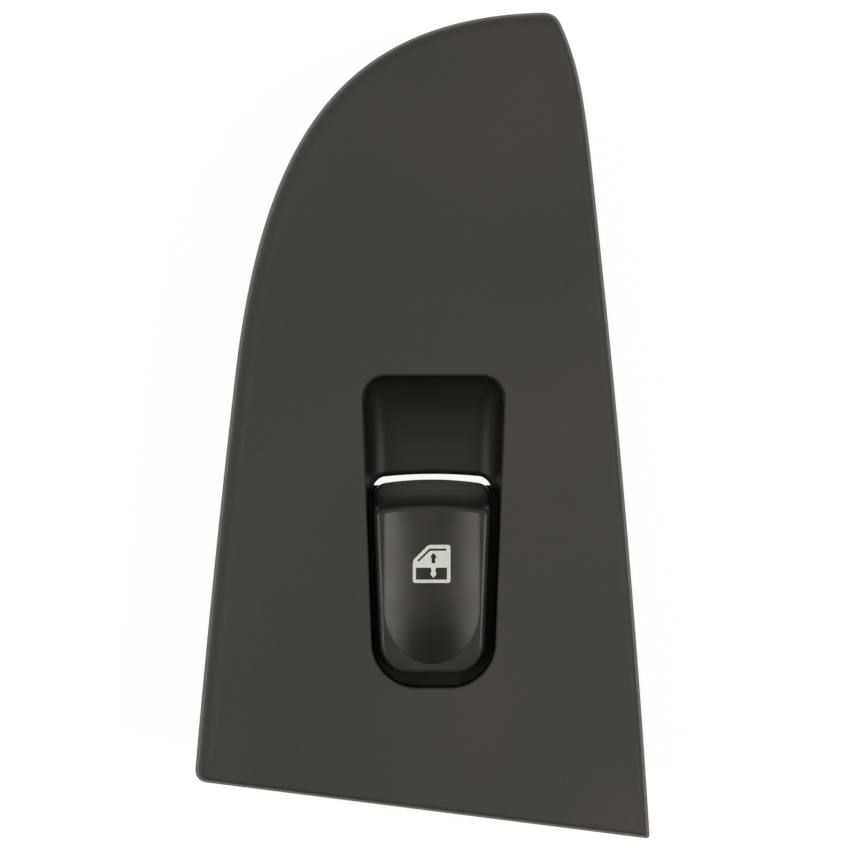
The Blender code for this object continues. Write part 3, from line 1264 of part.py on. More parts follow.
def make_terminals(material):
    """The eight strips of the lead frame that lies on the base."""
    pins = terminal_pins()
    left_y, right_y = seesaw_pivot_y(-1), seesaw_pivot_y(1)
    rest_left, rest_right = rest_pad(-1), rest_pad(1)
    feed_left, feed_right = feed_pad(-1), feed_pad(1)
    feed_turn = PIVOT_Y + FEED_TURN_REACH
    link_end = -RESISTOR_X + RESISTOR_HALF_LENGTH - RESISTOR_OVERLAP
    feed_start = -RESISTOR_X - RESISTOR_HALF_LENGTH + RESISTOR_OVERLAP
    corner = LAMP_LINK_Y
    paths = {
        "common_left": [(-PLUNGER_X, left_y), (-INNER_LANE_X, left_y), (-INNER_LANE_X, GATHER_Y)]
        + [(-PIN_INNER_X, GATHER_Y), pins["common_left"]],
        "common_right": [(PLUNGER_X, right_y), (INNER_LANE_X, right_y), (INNER_LANE_X, PIN_FRONT_Y)]
        + [pins["common_right"]],
        "rest_left": [rest_left, (-MIDDLE_LANE_X, rest_left[1]), (-MIDDLE_LANE_X, PIN_FRONT_Y)]
        + [pins["rest_left"]],
        "rest_right": [rest_right, (PLUNGER_X, GATHER_Y), (PIN_INNER_X, GATHER_Y), pins["rest_right"]],
        "feed": [feed_right, (PLUNGER_X, feed_turn), (0.0, feed_turn), (0.0, PIN_REAR_Y), pins["feed"]],
        "lamp_feed": [(feed_start, corner), (-OUTER_LANE_X, corner), (-OUTER_LANE_X, PIN_REAR_Y)]
        + [pins["lamp_feed"]],
        "lamp_ground": [(LAMP_PAD_X, SIGN_Y), (LAMP_PAD_X, corner), (MIDDLE_LANE_X, corner)]
        + [(MIDDLE_LANE_X, PIN_REAR_Y), pins["lamp_ground"]],
    }
    pads = {"rest_left": [rest_left], "rest_right": [rest_right], "feed": [feed_left, feed_right]}
    for key, path in paths.items():
        strip = terminal_strip(f"{key}_terminal", path, material, pads.get(key, ()))
        if key == "feed":
            branch = [(0.0, feed_left[1]), feed_left]
            add(strip, terminal_strip("branch", branch, material))
        if key.startswith("common"):
            add(strip, saddle(-1 if key.endswith("left") else 1))
        add(strip, connector_pin(pins[key]))
        finish(strip, (MODULE_X + pins[key][0], pins[key][1], STRIP_BOTTOM_Z))
    link = terminal_strip("lamp_link", [(-LAMP_PAD_X, SIGN_Y), (-LAMP_PAD_X, corner), (link_end, corner)], material)
    finish(link, (MODULE_X - LAMP_PAD_X, SIGN_Y, STRIP_BOTTOM_Z))


def make_seesaw_contact(name, side, material):
    """A shallow V of sheet brass with a silver rivet under each end, lying with its rest end down."""
    x, y = MODULE_X + side * PLUNGER_X, seesaw_pivot_y(side)
    centre_z = SEESAW_Z + CONTACT_THICKNESS / 2
    raised_y, raised_z = SEESAW_REACH * math.cos(SEESAW_ANGLE), SEESAW_REACH * math.sin(SEESAW_ANGLE)
    path = [(y - side * SEESAW_REACH, centre_z), (y, centre_z), (y + side * raised_y, centre_z + raised_z)]
    half = CONTACT_WIDTH / 2
    contact = extruded(name, ribbon(path, CONTACT_THICKNESS), x - half, x + half, "X", material)
    low, high = SEESAW_Z - SILVER_HEIGHT, SEESAW_Z + CONTACT_THICKNESS / 2
    add(contact, post(SILVER_RADIUS, (x, y - side * SEESAW_ARM), low, high, 16))
    raised = post(SILVER_RADIUS, (x, y + side * SEESAW_ARM), low, high, 16)
    pivot = Vector((x, y, SEESAW_Z))
    turn = Matrix.Rotation(side * SEESAW_ANGLE, 4, "X")
    raised.data.transform(Matrix.Translation(pivot) @ turn @ Matrix.Translation(-pivot))
    add(contact, raised)
    return finish(contact, pivot)


def make_module_screw(number, point, material):
    """A pan-head self-tapping screw, head down, with a cross recess."""
    seat = DECK_Z - EAR_THICKNESS - GAP
    head = seat - SCREW_HEAD_HEIGHT
    shank_end = seat + SCREW_LENGTH - SCREW_POINT_LENGTH
    profile = [(SCREW_HEAD_RADIUS * a, head + SCREW_HEAD_HEIGHT * b) for a, b in SCREW_HEAD_DOME]
    profile += [
        (SCREW_HEAD_RADIUS, seat),
        (SCREW_RADIUS, seat),
        (SCREW_RADIUS, shank_end),
        (0.0, shank_end + SCREW_POINT_LENGTH),
    ]
    screw = turned(f"module_screw_{number}", profile, point, 20, material)
    length, width = DRIVE_SLOT_LENGTH / 2, DRIVE_SLOT_WIDTH / 2
    low, high = head - EMBED, head + DRIVE_SLOT_DEPTH
    x, y = point
    cut(screw, box("slot", x - length, x + length, y - width, y + width, low, high))
    cut(screw, box("slot", x - width, x + width, y - length, y + length, low, high))
    return finish(screw, (x, y, seat))


def make_light_guide(material):
    """The clear rod that carries the lamp's light up to the sign, with a foot below its tube."""
    foot_top = GUIDE_FOOT_Z + GUIDE_FOOT_HEIGHT
    profile = [
        (GUIDE_FOOT_RADIUS, GUIDE_FOOT_Z),
        (GUIDE_FOOT_RADIUS, foot_top),
        (GUIDE_RADIUS, foot_top),
        (GUIDE_RADIUS, GUIDE_TOP_Z),
    ]
    centre = (MODULE_X, SIGN_Y)
    return finish(turned("light_guide", profile, centre, 20, material), (*centre, GUIDE_FOOT_Z))


def make_sign_lamp(material):
    """A small lamp with a domed lens, bridging two strips."""
    low = STRIP_TOP_Z + GAP
    high = low + LAMP_HEIGHT
    x0, x1 = MODULE_X - LAMP_HALF_LENGTH, MODULE_X + LAMP_HALF_LENGTH
    y0, y1 = SIGN_Y - LAMP_HALF_WIDTH, SIGN_Y + LAMP_HALF_WIDTH
    lamp = box("sign_lamp", x0, x1, y0, y1, low, high, material)
    steps = 4
    dome = [(LAMP_LENS_RADIUS, high - LAMP_HEIGHT / 2)]
    for i in range(steps):
        turn = i / steps * math.pi / 2
        dome.append((LAMP_LENS_RADIUS * math.cos(turn), high + LAMP_LENS_RADIUS * math.sin(turn)))
    dome.append((0.0, high + LAMP_LENS_RADIUS))
    add(lamp, turned("dome", dome, (MODULE_X, SIGN_Y), 16))
    return finish(lamp, (MODULE_X, SIGN_Y, low))


def make_lamp_resistor(material):
    """A round-bodied resistor that bridges the lamp link and the lamp feed."""
    z = STRIP_TOP_Z + GAP + RESISTOR_RADIUS
    middle = MODULE_X - RESISTOR_X
    x0, x1 = middle - RESISTOR_HALF_LENGTH, middle + RESISTOR_HALF_LENGTH
    resistor = cross_pin(RESISTOR_RADIUS, x0, x1, LAMP_LINK_Y, z, 16)
    resistor.name = "lamp_resistor"
    resistor.data.materials.append(material)
    return finish(resistor, (middle, LAMP_LINK_Y, z))


def main():
    """Builds every piece in its place."""
    clear_scene()
    panel_plastic = make_material("grained_panel_plastic", (0.052, 0.050, 0.044), 0.55)
    rocker_plastic = make_material("rocker_plastic", (0.040, 0.040, 0.036), 0.38)
    housing_plastic = make_material("housing_plastic", (0.018, 0.018, 0.018), 0.50)
    base_plastic = make_material("base_plastic", (0.030, 0.030, 0.030), 0.55)
    slide_plastic = make_material("slide_plastic", (0.75, 0.74, 0.70), 0.40)
    clear_plastic = make_material("clear_plastic", (0.85, 0.88, 0.90), 0.10)
    brass = make_material("contact_brass", (0.66, 0.46, 0.20), 0.30, 1.0)
    tinned_brass = make_material("tinned_brass", (0.62, 0.60, 0.56), 0.35, 1.0)
    zinc_steel = make_material("zinc_steel", (0.55, 0.55, 0.54), 0.35, 1.0)
    spring_steel = make_material("spring_steel", (0.30, 0.30, 0.31), 0.40, 1.0)
    component_body = make_material("component_body", (0.70, 0.66, 0.55), 0.50)

    outer = Outline(panel_loop(), (0.0, (RECESS_FRONT_Y + RECESS_REAR_Y) / 2))
    make_trim_panel(outer, panel_plastic)
    for number, point in enumerate(clip_points(outer), start=1):
        make_spring_clip(number, point, spring_steel)

    rocker_axis = make_empty("rocker_axis", (MODULE_X, PIVOT_Y, PIVOT_Z))
    make_rocker_knob(rocker_axis, rocker_plastic)
    for name, side in (("left", -1), ("right", 1)):
        make_plunger(f"plunger_{name}", side, rocker_axis, slide_plastic)
        make_plunger_spring(f"plunger_spring_{name}", side, rocker_axis, spring_steel)
        make_seesaw_contact(f"seesaw_contact_{name}", side, brass)

    make_switch_housing(housing_plastic)
    make_terminal_base(base_plastic)
    make_terminals(tinned_brass)
    for number, point in enumerate(SCREW_POINTS, start=1):
        make_module_screw(number, point, zinc_steel)
    make_light_guide(clear_plastic)
    make_sign_lamp(component_body)
    make_lamp_resistor(component_body)


if __name__ == "__main__":
    main()
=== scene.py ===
"""Looks of a power window switch: a grained trim panel with a finger scoop, and a satin rocker with a sign.

Lengths are in metres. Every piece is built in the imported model's own frame, where +Z points out of the
panel's show face and +Y towards its narrow end.
"""

import json
import logging
import math
from contextlib import contextmanager
from dataclasses import dataclass, field
from enum import Enum
from typing import Any, Iterable, Iterator, Sequence

import bmesh
import bpy
import numpy as np
from bpy.types import ID, Material, Mesh, Node, NodeSocket, NodeTree, Object, World
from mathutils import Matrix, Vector


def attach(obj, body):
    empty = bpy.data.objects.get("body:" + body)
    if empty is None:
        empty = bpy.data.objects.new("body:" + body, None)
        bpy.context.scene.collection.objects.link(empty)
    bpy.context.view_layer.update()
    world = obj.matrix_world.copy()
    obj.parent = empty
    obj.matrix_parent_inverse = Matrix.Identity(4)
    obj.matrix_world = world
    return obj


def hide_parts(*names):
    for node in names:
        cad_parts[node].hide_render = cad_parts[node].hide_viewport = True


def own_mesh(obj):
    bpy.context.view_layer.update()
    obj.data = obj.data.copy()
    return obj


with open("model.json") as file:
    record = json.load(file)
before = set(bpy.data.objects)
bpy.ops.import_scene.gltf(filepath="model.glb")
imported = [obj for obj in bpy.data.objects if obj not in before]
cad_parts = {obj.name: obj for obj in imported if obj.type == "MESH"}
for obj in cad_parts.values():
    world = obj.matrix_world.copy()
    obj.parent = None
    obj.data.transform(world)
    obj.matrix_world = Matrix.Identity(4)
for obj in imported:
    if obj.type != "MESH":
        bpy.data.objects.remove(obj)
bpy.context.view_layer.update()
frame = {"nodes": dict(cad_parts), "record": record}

log = logging.getLogger("window_switch")

Point = tuple[float, float, float]
Flat = tuple[float, float]
Rows = list[list[tuple[Point, Point]]]
MM = 0.001
# Points closer than this are one point, and edges bent by more than this stay sharp
SAME_POINT = 1e-7
SHARP_DEGREES = 35.0
# The switch module: its middle, the rocker's axis as (Y, Z), and how far its barrels stand from the middle
MODULE_X = -0.0003
PIVOT: Flat = (-0.0570, 0.0015)
BARREL_X = 0.0043843
# The three screws that hold it, with their reach from the middle and their places along it
SCREW_PLACES: tuple[Flat, ...] = (
    (MODULE_X - 0.0193, -0.0460),
    (MODULE_X + 0.0193, -0.0460),
    (MODULE_X, -0.0826),
)
# The middle part of a noise's range, which is stretched to the whole range of a colour and of a roughness
COLOUR_SPAN: Flat = (0.25, 0.75)
ROUGHNESS_SPAN: Flat = (0.2, 0.8)
SPAN_INPUTS = ("From Min", "From Max", "To Min", "To Max")
# The cells of an eroded grain: how many there are to a grain's width, and their weight beside its noise
CELLS_PER_GRAIN = 0.8
CELL_WEIGHT = 0.6


class Side(Enum):
    """The two sides of the switch module, seen with the sign upright."""

    LEFT = -1
    RIGHT = 1


class Surface(Enum):
    """How a surface was made, which decides its fine relief."""

    ERODED = "spark-eroded mould grain"
    PAINTED = "soft sprayed paint"
    MOULDED = "plain moulding"
    ROLLED = "rolled or drawn metal"
    PLATED = "plated metal"


def linear(code: str) -> tuple[float, float, float, float]:
    """Turns an sRGB hex colour to linear light.

    Args:
        code: Six hex digits.

    Returns:
        Red, green, blue and an alpha of one.
    """
    parts = [int(code[i : i + 2], 16) / 255 for i in (0, 2, 4)]
    red, green, blue = [c / 12.92 if c <= 0.04045 else ((c + 0.055) / 1.055) ** 2.4 for c in parts]
    return (red, green, blue, 1.0)


def add_node(
    tree: NodeTree,
    kind: str,
    values: dict[Any, Any] | None = None,
    links: dict[Any, NodeSocket] | None = None,
    **settings: Any,
) -> Node:
    """Adds one node with its settings, socket values and incoming links.

    Args:
        tree: The tree that takes the node.
        kind: The node's type name.
        values: Default values by input name or number.
        links: Source sockets by input name or number.
        **settings: Properties of the node itself.

    Returns:
        The new node.
    """
    node = tree.nodes.new(kind)
    for name, setting in settings.items():
        setattr(node, name, setting)
    for key, value in (values or {}).items():
        node.inputs[key].default_value = value
    for key, socket in (links or {}).items():
        tree.links.new(socket, node.inputs[key])
    return node


def bare_tree(owner: Material | World) -> NodeTree:
    """Gives a material or a world an empty node tree."""
    owner.use_nodes = True
    owner.node_tree.nodes.clear()
    return owner.node_tree


def new_tree(name: str, inputs: dict[str, str], output: str) -> tuple[NodeTree, Any]:
    """Creates a geometry tree with named inputs.

    Args:
        name: The tree's name.
        inputs: The kind of each input by its name.
        output: The name of its one output.

    Returns:
        The tree and the sockets of its inputs.
    """
    tree = bpy.data.node_groups.new(name, "GeometryNodeTree")
    for label, kind in inputs.items():
        tree.interface.new_socket(label, in_out="INPUT", socket_type=f"NodeSocket{kind}")
    tree.interface.new_socket(output, in_out="OUTPUT", socket_type="NodeSocketGeometry")
    return tree, add_node(tree, "NodeGroupInput").outputs


def end_tree(tree: NodeTree, geometry: NodeSocket, material: NodeSocket, output: str) -> None:
    """Ends a geometry tree with plain geometry in one material.

    Args:
        tree: The tree.
        geometry: What it has made so far.
        material: The input that gives its material.
        output: The name of its output.
    """
    plain = add_node(tree, "GeometryNodeRealizeInstances", None, {"Geometry": geometry}).outputs["Geometry"]
    dressed = add_node(tree, "GeometryNodeSetMaterial", None, {"Geometry": plain, "Material": material})
    add_node(tree, "NodeGroupOutput", None, {output: dressed.outputs["Geometry"]})


def linked(name: str, data: ID) -> Object:
    """Makes an object of some data and links it to the scene."""
    made = bpy.data.objects.new(name, data)
    bpy.context.scene.collection.objects.link(made)
    return made


@contextmanager
def edited(mesh: Mesh) -> Iterator[bmesh.types.BMesh]:
    """Opens a mesh for editing and writes the changes back.

    Args:
        mesh: The mesh.

    Yields:
        Its editable form.
    """
    work = bmesh.new()
    work.from_mesh(mesh)
    yield work
    work.to_mesh(mesh)
    work.free()


def quarter_turns(steps: int, start: int = 0) -> list[float]:
    """Angles in even steps up to a right angle, from the given step on."""
    return [i / steps * math.pi / 2 for i in range(start, steps + 1)]


@dataclass(frozen=True)
class Finish:
    """A surface finish, named for the real material.

    Attributes:
        name: The finish's name.
        colour: Its main colour, sRGB hex.
        drift: The colour that it drifts towards in broad patches.
        roughness: Middle roughness.
        surface: How the surface was made.
        grain_mm: Width of one grain of the fine relief.
        depth_mm: Height of the relief.
        patch_mm: Width of the broad colour patches.
        spread: How far the roughness wanders to each side.
        metallic: One for bare metal.
        ior: Index of refraction.
        transmission: One for clear plastic.
        stretch: How much longer the relief is along each axis.
        painted_shade: Where along Y painted shade starts to darken the colour, and where it has become black.
    """

    name: str
    colour: str
    drift: str
    roughness: float
    surface: Surface
    grain_mm: float = 0.5
    depth_mm: float = 0.01
    patch_mm: float = 20.0
    spread: float = 0.05
    metallic: float = 0.0
    ior: float = 1.5
    transmission: float = 0.0
    stretch: Point = (1.0, 1.0, 1.0)
    painted_shade: Flat | None = None

    def material(self) -> Material:
        """Builds the finish's material.

        Returns:
            The material, whose patterns all lie on the piece's own coordinates.
        """
        made = bpy.data.materials.new(self.name)
        tree = bare_tree(made)
        place = add_node(tree, "ShaderNodeTexCoord").outputs["Object"]
        drawn = add_node(
            tree, "ShaderNodeMapping", {"Scale": [1 / s for s in self.stretch]}, {"Vector": place}
        ).outputs["Vector"]
        patches = add_node(
            tree,
            "ShaderNodeTexNoise",
            {"Scale": 1 / (self.patch_mm * MM), "Detail": 1.0, "Roughness": 0.4},
            {"Vector": place},
        ).outputs["Fac"]
        grain = add_node(
            tree,
            "ShaderNodeTexNoise",
            {"Scale": 1 / (self.grain_mm * MM), "Detail": 2.0, "Roughness": 0.5},
            {"Vector": drawn},
        ).outputs["Fac"]
        if self.surface is Surface.ERODED:
            cells = add_node(
                tree,
                "ShaderNodeTexVoronoi",
                {"Scale": CELLS_PER_GRAIN / (self.grain_mm * MM), "Smoothness": 1.0},
                {"Vector": drawn},
                feature="SMOOTH_F1",
            ).outputs["Distance"]
            grain = add_node(
                tree, "ShaderNodeMath", {1: CELL_WEIGHT}, {0: cells, 2: grain}, operation="MULTIPLY_ADD"
            ).outputs["Value"]
        relief = add_node(
            tree, "ShaderNodeBump", {"Strength": 1.0, "Distance": self.depth_mm * MM}, {"Height": grain}
        ).outputs["Normal"]
        shader = add_node(
            tree,
            "ShaderNodeBsdfPrincipled",
            {
                "Base Color": linear(self.colour),
                "Roughness": self.roughness,
                "Metallic": self.metallic,
                "IOR": self.ior,
                "Transmission Weight": self.transmission,
            },
            {"Normal": relief},
        )
        if self.drift != self.colour:
            span = dict(zip(SPAN_INPUTS, COLOUR_SPAN))
            share = add_node(tree, "ShaderNodeMapRange", span, {"Value": patches}).outputs["Result"]
            ends = {6: linear(self.colour), 7: linear(self.drift)}
            colour = add_node(tree, "ShaderNodeMix", ends, {0: share}, data_type="RGBA").outputs[2]
            # Painted shade: along Y the colour darkens over the given span, down to black at its end
            if self.painted_shade:
                along = add_node(tree, "ShaderNodeSeparateXYZ", None, {"Vector": place}).outputs["Y"]
                span = dict(zip(SPAN_INPUTS, (*self.painted_shade, 1.0, 0.0)))
                left = add_node(
                    tree, "ShaderNodeMapRange", span, {"Value": along}, interpolation_type="SMOOTHSTEP"
                ).outputs["Result"]
                colour = add_node(
                    tree, "ShaderNodeVectorMath", None, {0: colour, "Scale": left}, operation="SCALE"
                ).outputs["Vector"]
            tree.links.new(colour, shader.inputs["Base Color"])
        if self.spread:
            low, high = self.roughness - self.spread, self.roughness + self.spread
            wander = patches if self.surface is Surface.PAINTED else grain
            span = dict(zip(SPAN_INPUTS, (*ROUGHNESS_SPAN, low, high)))
            rough = add_node(tree, "ShaderNodeMapRange", span, {"Value": wander}).outputs["Result"]
            tree.links.new(rough, shader.inputs["Roughness"])
        add_node(tree, "ShaderNodeOutputMaterial", None, {"Surface": shader.outputs["BSDF"]})
        made.diffuse_color = linear(self.colour)
        return made


# Moulded ABS from a spark-eroded tool: a fine even grain that spreads the light to a soft, warm dark grey
GRAINED_ABS = Finish("grained_abs", "31322D", "3B3A34", 0.60, Surface.ERODED, 0.55, 0.024, 40.0, 0.06)
# The same ABS in the recess, where the tool was left smooth: a little glossier, and darker in colour as
# painted shade for the deep recess
SMOOTH_ABS_PAINTED_SHADE = Finish(
    "smooth_abs", "10110E", "141511", 0.50, Surface.MOULDED, 0.40, 0.004, 12.0, 0.04, ior=1.45
)
# Soft paint over polycarbonate: smoother than the panel, with broad faint traces of handling
SATIN_PAINT = Finish(
    "satin_rocker_paint", "31312C", "353530", 0.33, Surface.PAINTED, 0.30, 0.003, 7.0, 0.04, ior=1.44
)
# The same paint in the thumb dish, with painted shade that darkens it towards its rounded end
SHADED_DISH_PAINT = Finish(
    "rubbed_dish_paint", "2C2C28", "33322D", 0.33, Surface.PAINTED, 0.30, 0.003, 6.0, 0.05, ior=1.44,
    painted_shade=(-0.055, -0.068),
)
# Glass-filled polyester, which is near black; its colour is lifted to a dark grey as painted light in the
# shaded gaps round the rocker, with a slightly cloudy flow pattern
HOUSING_POLYESTER = Finish(
    "housing_polyester", "3A3A38", "40403D", 0.48, Surface.MOULDED, 0.8, 0.006, 6.0, 0.08
)
# The same polyester, a shade darker, for the base
BASE_POLYESTER = Finish("base_polyester", "2A2B2C", "313233", 0.52, Surface.MOULDED, 0.7, 0.006, 5.0, 0.06)
# Natural acetal: milky white and slippery
ACETAL = Finish("natural_acetal", "E4E1D8", "DCD9CF", 0.34, Surface.MOULDED, 0.6, 0.002, 3.0, 0.04, ior=1.48)
# Clear polycarbonate: bends light strongly, with a polished skin
CLEAR_POLYCARBONATE = Finish(
    "clear_polycarbonate", "F2F6F7", "F2F6F7", 0.08, Surface.MOULDED, 1.0, 0.0005, 3.0, 0.02,
    ior=1.585, transmission=1.0,
)
# Rolled sheet brass: warm yellow with fine lines along the strip
SHEET_BRASS = Finish(
    "sheet_brass", "D9BC78", "CFAE68", 0.28, Surface.ROLLED, 0.12, 0.002, 2.0, 0.08, metallic=1.0,
    stretch=(1.0, 12.0, 1.0),
)
# Tinned brass: pale, slightly dull and faintly cloudy
TINNED_BRASS = Finish(
    "tinned_brass", "CBC9C2", "BDBAB2", 0.34, Surface.PLATED, 0.35, 0.002, 2.5, 0.08, metallic=1.0
)
# Zinc plate on steel: cool grey with a bluish passivated play of colour
ZINC_PLATE = Finish(
    "zinc_plate", "BFC3C6", "B4B9C2", 0.32, Surface.PLATED, 0.30, 0.002, 1.6, 0.08, metallic=1.0
)
# Phosphated spring steel: dark grey, dull, with rolling lines along Z
SPRING_STEEL = Finish(
    "phosphated_spring_steel", "6E6E70", "5D5D5F", 0.42, Surface.ROLLED, 0.15, 0.003, 2.0, 0.08, metallic=1.0,
    stretch=(1.0, 1.0, 10.0),
)
# Resistor ceramic and lamp body: pale, chalky mouldings
COMPONENT_CERAMIC = Finish(
    "component_ceramic", "D8CFB8", "CFC5AC", 0.55, Surface.MOULDED, 0.3, 0.004, 1.2, 0.05
)
# Screen-printed white ink, a little uneven where it lies over the paint
SIGN_INK = Finish("sign_ink", "E4E5DF", "DDDED8", 0.55, Surface.PAINTED, 0.25, 0.002, 2.0, 0.05)
# The finish of each of the module's nodes, by how its name begins; the stamped strips take the last
NODE_FINISHES: dict[str, Finish] = {
    "switch_housing": HOUSING_POLYESTER,
    "terminal_base": BASE_POLYESTER,
    "plunger": ACETAL,
    "seesaw_contact": SHEET_BRASS,
    "light_guide": CLEAR_POLYCARBONATE,
    "module_screw": ZINC_PLATE,
    "spring_clip": SPRING_STEEL,
    "sign_lamp": COMPONENT_CERAMIC,
    "lamp_resistor": COMPONENT_CERAMIC,
    "": TINNED_BRASS,
}


@dataclass
class Draft:
    """Closed bodies gathered into one mesh.

    Attributes:
        points: Every point so far.
        faces: Every face so far, as point numbers.
        tones: The number of each face's material.
    """

    points: list[Point] = field(default_factory=list)
    faces: list[tuple[int, ...]] = field(default_factory=list)
    tones: list[int] = field(default_factory=list)

    def body(
        self,
        points: Iterable[Sequence[float]],
        faces: Sequence[Sequence[int]],
        tones: Sequence[int] | int = 0,
    ) -> "Draft":
        """Adds one closed body.

        Args:
            points: Its points.
            faces: Its faces, numbered from its own first point.
            tones: The number of its material, or one number for each face.

        Returns:
            This draft, so that calls can follow each other.
        """
        first = len(self.points)
        self.points.extend(tuple(float(v) for v in p) for p in points)
        self.faces.extend(tuple(first + i for i in face) for face in faces)
        self.tones.extend([tones] * len(faces) if isinstance(tones, int) else tones)
        return self

    def ring_solid(self, rings: Sequence[Sequence[Point]], second: range = range(0)) -> "Draft":
        """Adds a body from rings of points, where the last ring joins the first.

        Args:
            rings: Rings with equal numbers of points.
            second: The rings from which faces of the second material start.

        Returns:
            This draft.
        """
        columns = len(rings[0])
        faces = []
        for i in range(len(rings)):
            k = (i + 1) % len(rings)
            for j in range(columns):
                m = (j + 1) % columns
                faces.append((i * columns + j, i * columns + m, k * columns + m, k * columns + j))
        tones = [int(face[0] // columns in second) for face in faces]
        return self.body([p for ring in rings for p in ring], faces, tones)

    def slab(self, rows: Rows, tone: int = 0) -> "Draft":
        """Adds a body between an upper and a lower sheet.

        Args:
            rows: Rows of (upper point, lower point) pairs.
            tone: The number of its material.

        Returns:
            This draft.
        """
        width = len(rows[0])
        lower = width * len(rows)
        points = [pair[0] for row in rows for pair in row] + [pair[1] for row in rows for pair in row]
        faces: list[tuple[int, ...]] = []
        for i in range(len(rows) - 1):
            for j in range(width - 1):
                a = i * width + j
                sheet = (a, a + 1, a + width + 1, a + width)
                faces.append(sheet)
                faces.append(tuple(lower + v for v in reversed(sheet)))
        border = list(range(width))
        border += [i * width + width - 1 for i in range(1, len(rows))]
        border += [(len(rows) - 1) * width + j for j in range(width - 2, -1, -1)]
        border += [i * width for i in range(len(rows) - 2, 0, -1)]
        for a, b in zip(border, border[1:] + border[:1]):
            faces.append((a, b, lower + b, lower + a))
        return self.body(points, faces, tone)

    def turned(self, profile: Sequence[Flat], centre: Flat, steps: int = 64) -> "Draft":
        """Adds a solid of revolution about an upright axis.

        Args:
            profile: (radius, height) pairs, whose first and last lie on the axis.
            centre: Where the axis stands.
            steps: Facets round the axis.

        Returns:
            This draft.
        """
        points: list[Point] = [(*centre, profile[0][1])]
        turn = 2 * math.pi / steps
        for radius, height in profile[1:-1]:
            points += [
                (centre[0] + radius * math.cos(i * turn), centre[1] + radius * math.sin(i * turn), height)
                for i in range(steps)
            ]
        points.append((*centre, profile[-1][1]))
        last = len(points) - 1
        faces: list[tuple[int, ...]] = []
        for i in range(steps):
            j = (i + 1) % steps
            faces.append((0, 1 + j, 1 + i))
            for ring in range(len(profile) - 3):
                a = 1 + ring * steps
                faces.append((a + i, a + j, a + steps + j, a + steps + i))
            faces.append((last - steps + i, last - steps + j, last))
        return self.body(points, faces)

    def extruded(self, outline: Sequence[Flat], start: float, end: float, axis: str = "Z") -> "Draft":
        """Adds a flat outline pushed along an axis.

        Args:
            outline: Pairs of the other two coordinates, in order.
            start: Where the body begins along the axis.
            end: Where it ends.
            axis: X, Y or Z.

        Returns:
            This draft.
        """
        count = len(outline)
        order = {"X": (2, 0, 1), "Y": (0, 2, 1), "Z": (0, 1, 2)}[axis]
        points = [tuple((a, b, c)[k] for k in order) for c in (start, end) for a, b in outline]
        faces: list[tuple[int, ...]] = [tuple(range(count)), tuple(range(count, 2 * count))]
        for i in range(count):
            j = (i + 1) % count
            faces.append((i, j, count + j, count + i))
        return self.body(points, faces)

    def make(self, name: str, sharp_degrees: float = SHARP_DEGREES) -> Object:
        """Turns the draft into an object with its faces outwards.

        Args:
            name: The object's name.
            sharp_degrees: Edges bent by more than this stay sharp.

        Returns:
            The object, at the origin.
        """
        mesh = bpy.data.meshes.new(name)
        mesh.from_pydata(self.points, [], self.faces)
        mesh.polygons.foreach_set("material_index", self.tones)
        with edited(mesh) as work:
            bmesh.ops.recalc_face_normals(work, faces=work.faces)
        shade(mesh, sharp_degrees)
        return linked(name, mesh)


def shade(mesh: Mesh, sharp_degrees: float) -> None:
    """Shades a mesh smooth, except at its bent edges.

    Args:
        mesh: The mesh.
        sharp_degrees: Edges bent by more than this stay sharp.
    """
    mesh.shade_smooth()
    mesh.set_sharp_from_angle(angle=math.radians(sharp_degrees))


def baked(piece: Object) -> Object:
    """Replaces a piece's mesh by what its modifiers make of it.

    Args:
        piece: The piece, whose modifiers are removed.

    Returns:
        The same piece.
    """
    graph = bpy.context.evaluated_depsgraph_get()
    mesh = bpy.data.meshes.new_from_object(piece.evaluated_get(graph))
    mesh.name = piece.name
    piece.modifiers.clear()
    piece.data = mesh
    return piece


def carved(target: Object, tool: Object, operation: str) -> Object:
    """Joins a tool to a piece or cuts it away.

    Args:
        target: The piece.
        tool: The other solid, which is removed afterwards.
        operation: UNION, DIFFERENCE or INTERSECT.

    Returns:
        The piece.
    """
    modifier = target.modifiers.new("carving", "BOOLEAN")
    modifier.operation = operation
    modifier.object = tool
    modifier.solver = "MANIFOLD"
    baked(target)
    bpy.data.objects.remove(tool)
    return target


def settle(
    piece: Object, materials: Sequence[Material], body: str, nodes: Sequence[str] = ()
) -> Object:
    """Gives a finished piece its materials, its body and the nodes that it stands for.

    Args:
        piece: The piece.
        materials: Its materials, in the order of its faces' numbers.
        body: The moving body that it rides on.
        nodes: Nodes that it replaces.

    Returns:
        The piece.
    """
    tones = [face.material_index for face in piece.data.polygons]
    piece.data.materials.clear()
    for material in materials:
        piece.data.materials.append(material)
    piece.data.polygons.foreach_set("material_index", [min(tone, len(materials) - 1) for tone in tones])
    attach(piece, body)
    if nodes:
        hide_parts(*nodes)
    log.info("%s: %d faces on %s", piece.name, len(piece.data.polygons), body)
    return piece


def bezier(controls: Sequence[Sequence[float]], steps: int) -> list[np.ndarray]:
    """Points along a cubic curve.

    Args:
        controls: Its four control points.
        steps: Stretches between points.

    Returns:
        The points, ends included.
    """
    a, b, c, d = (np.array(p, dtype=float) for p in controls)
    turns = [i / steps for i in range(steps + 1)]
    return [(1 - t) ** 3 * a + 3 * (1 - t) ** 2 * t * b + 3 * (1 - t) * t**2 * c + t**3 * d for t in turns]


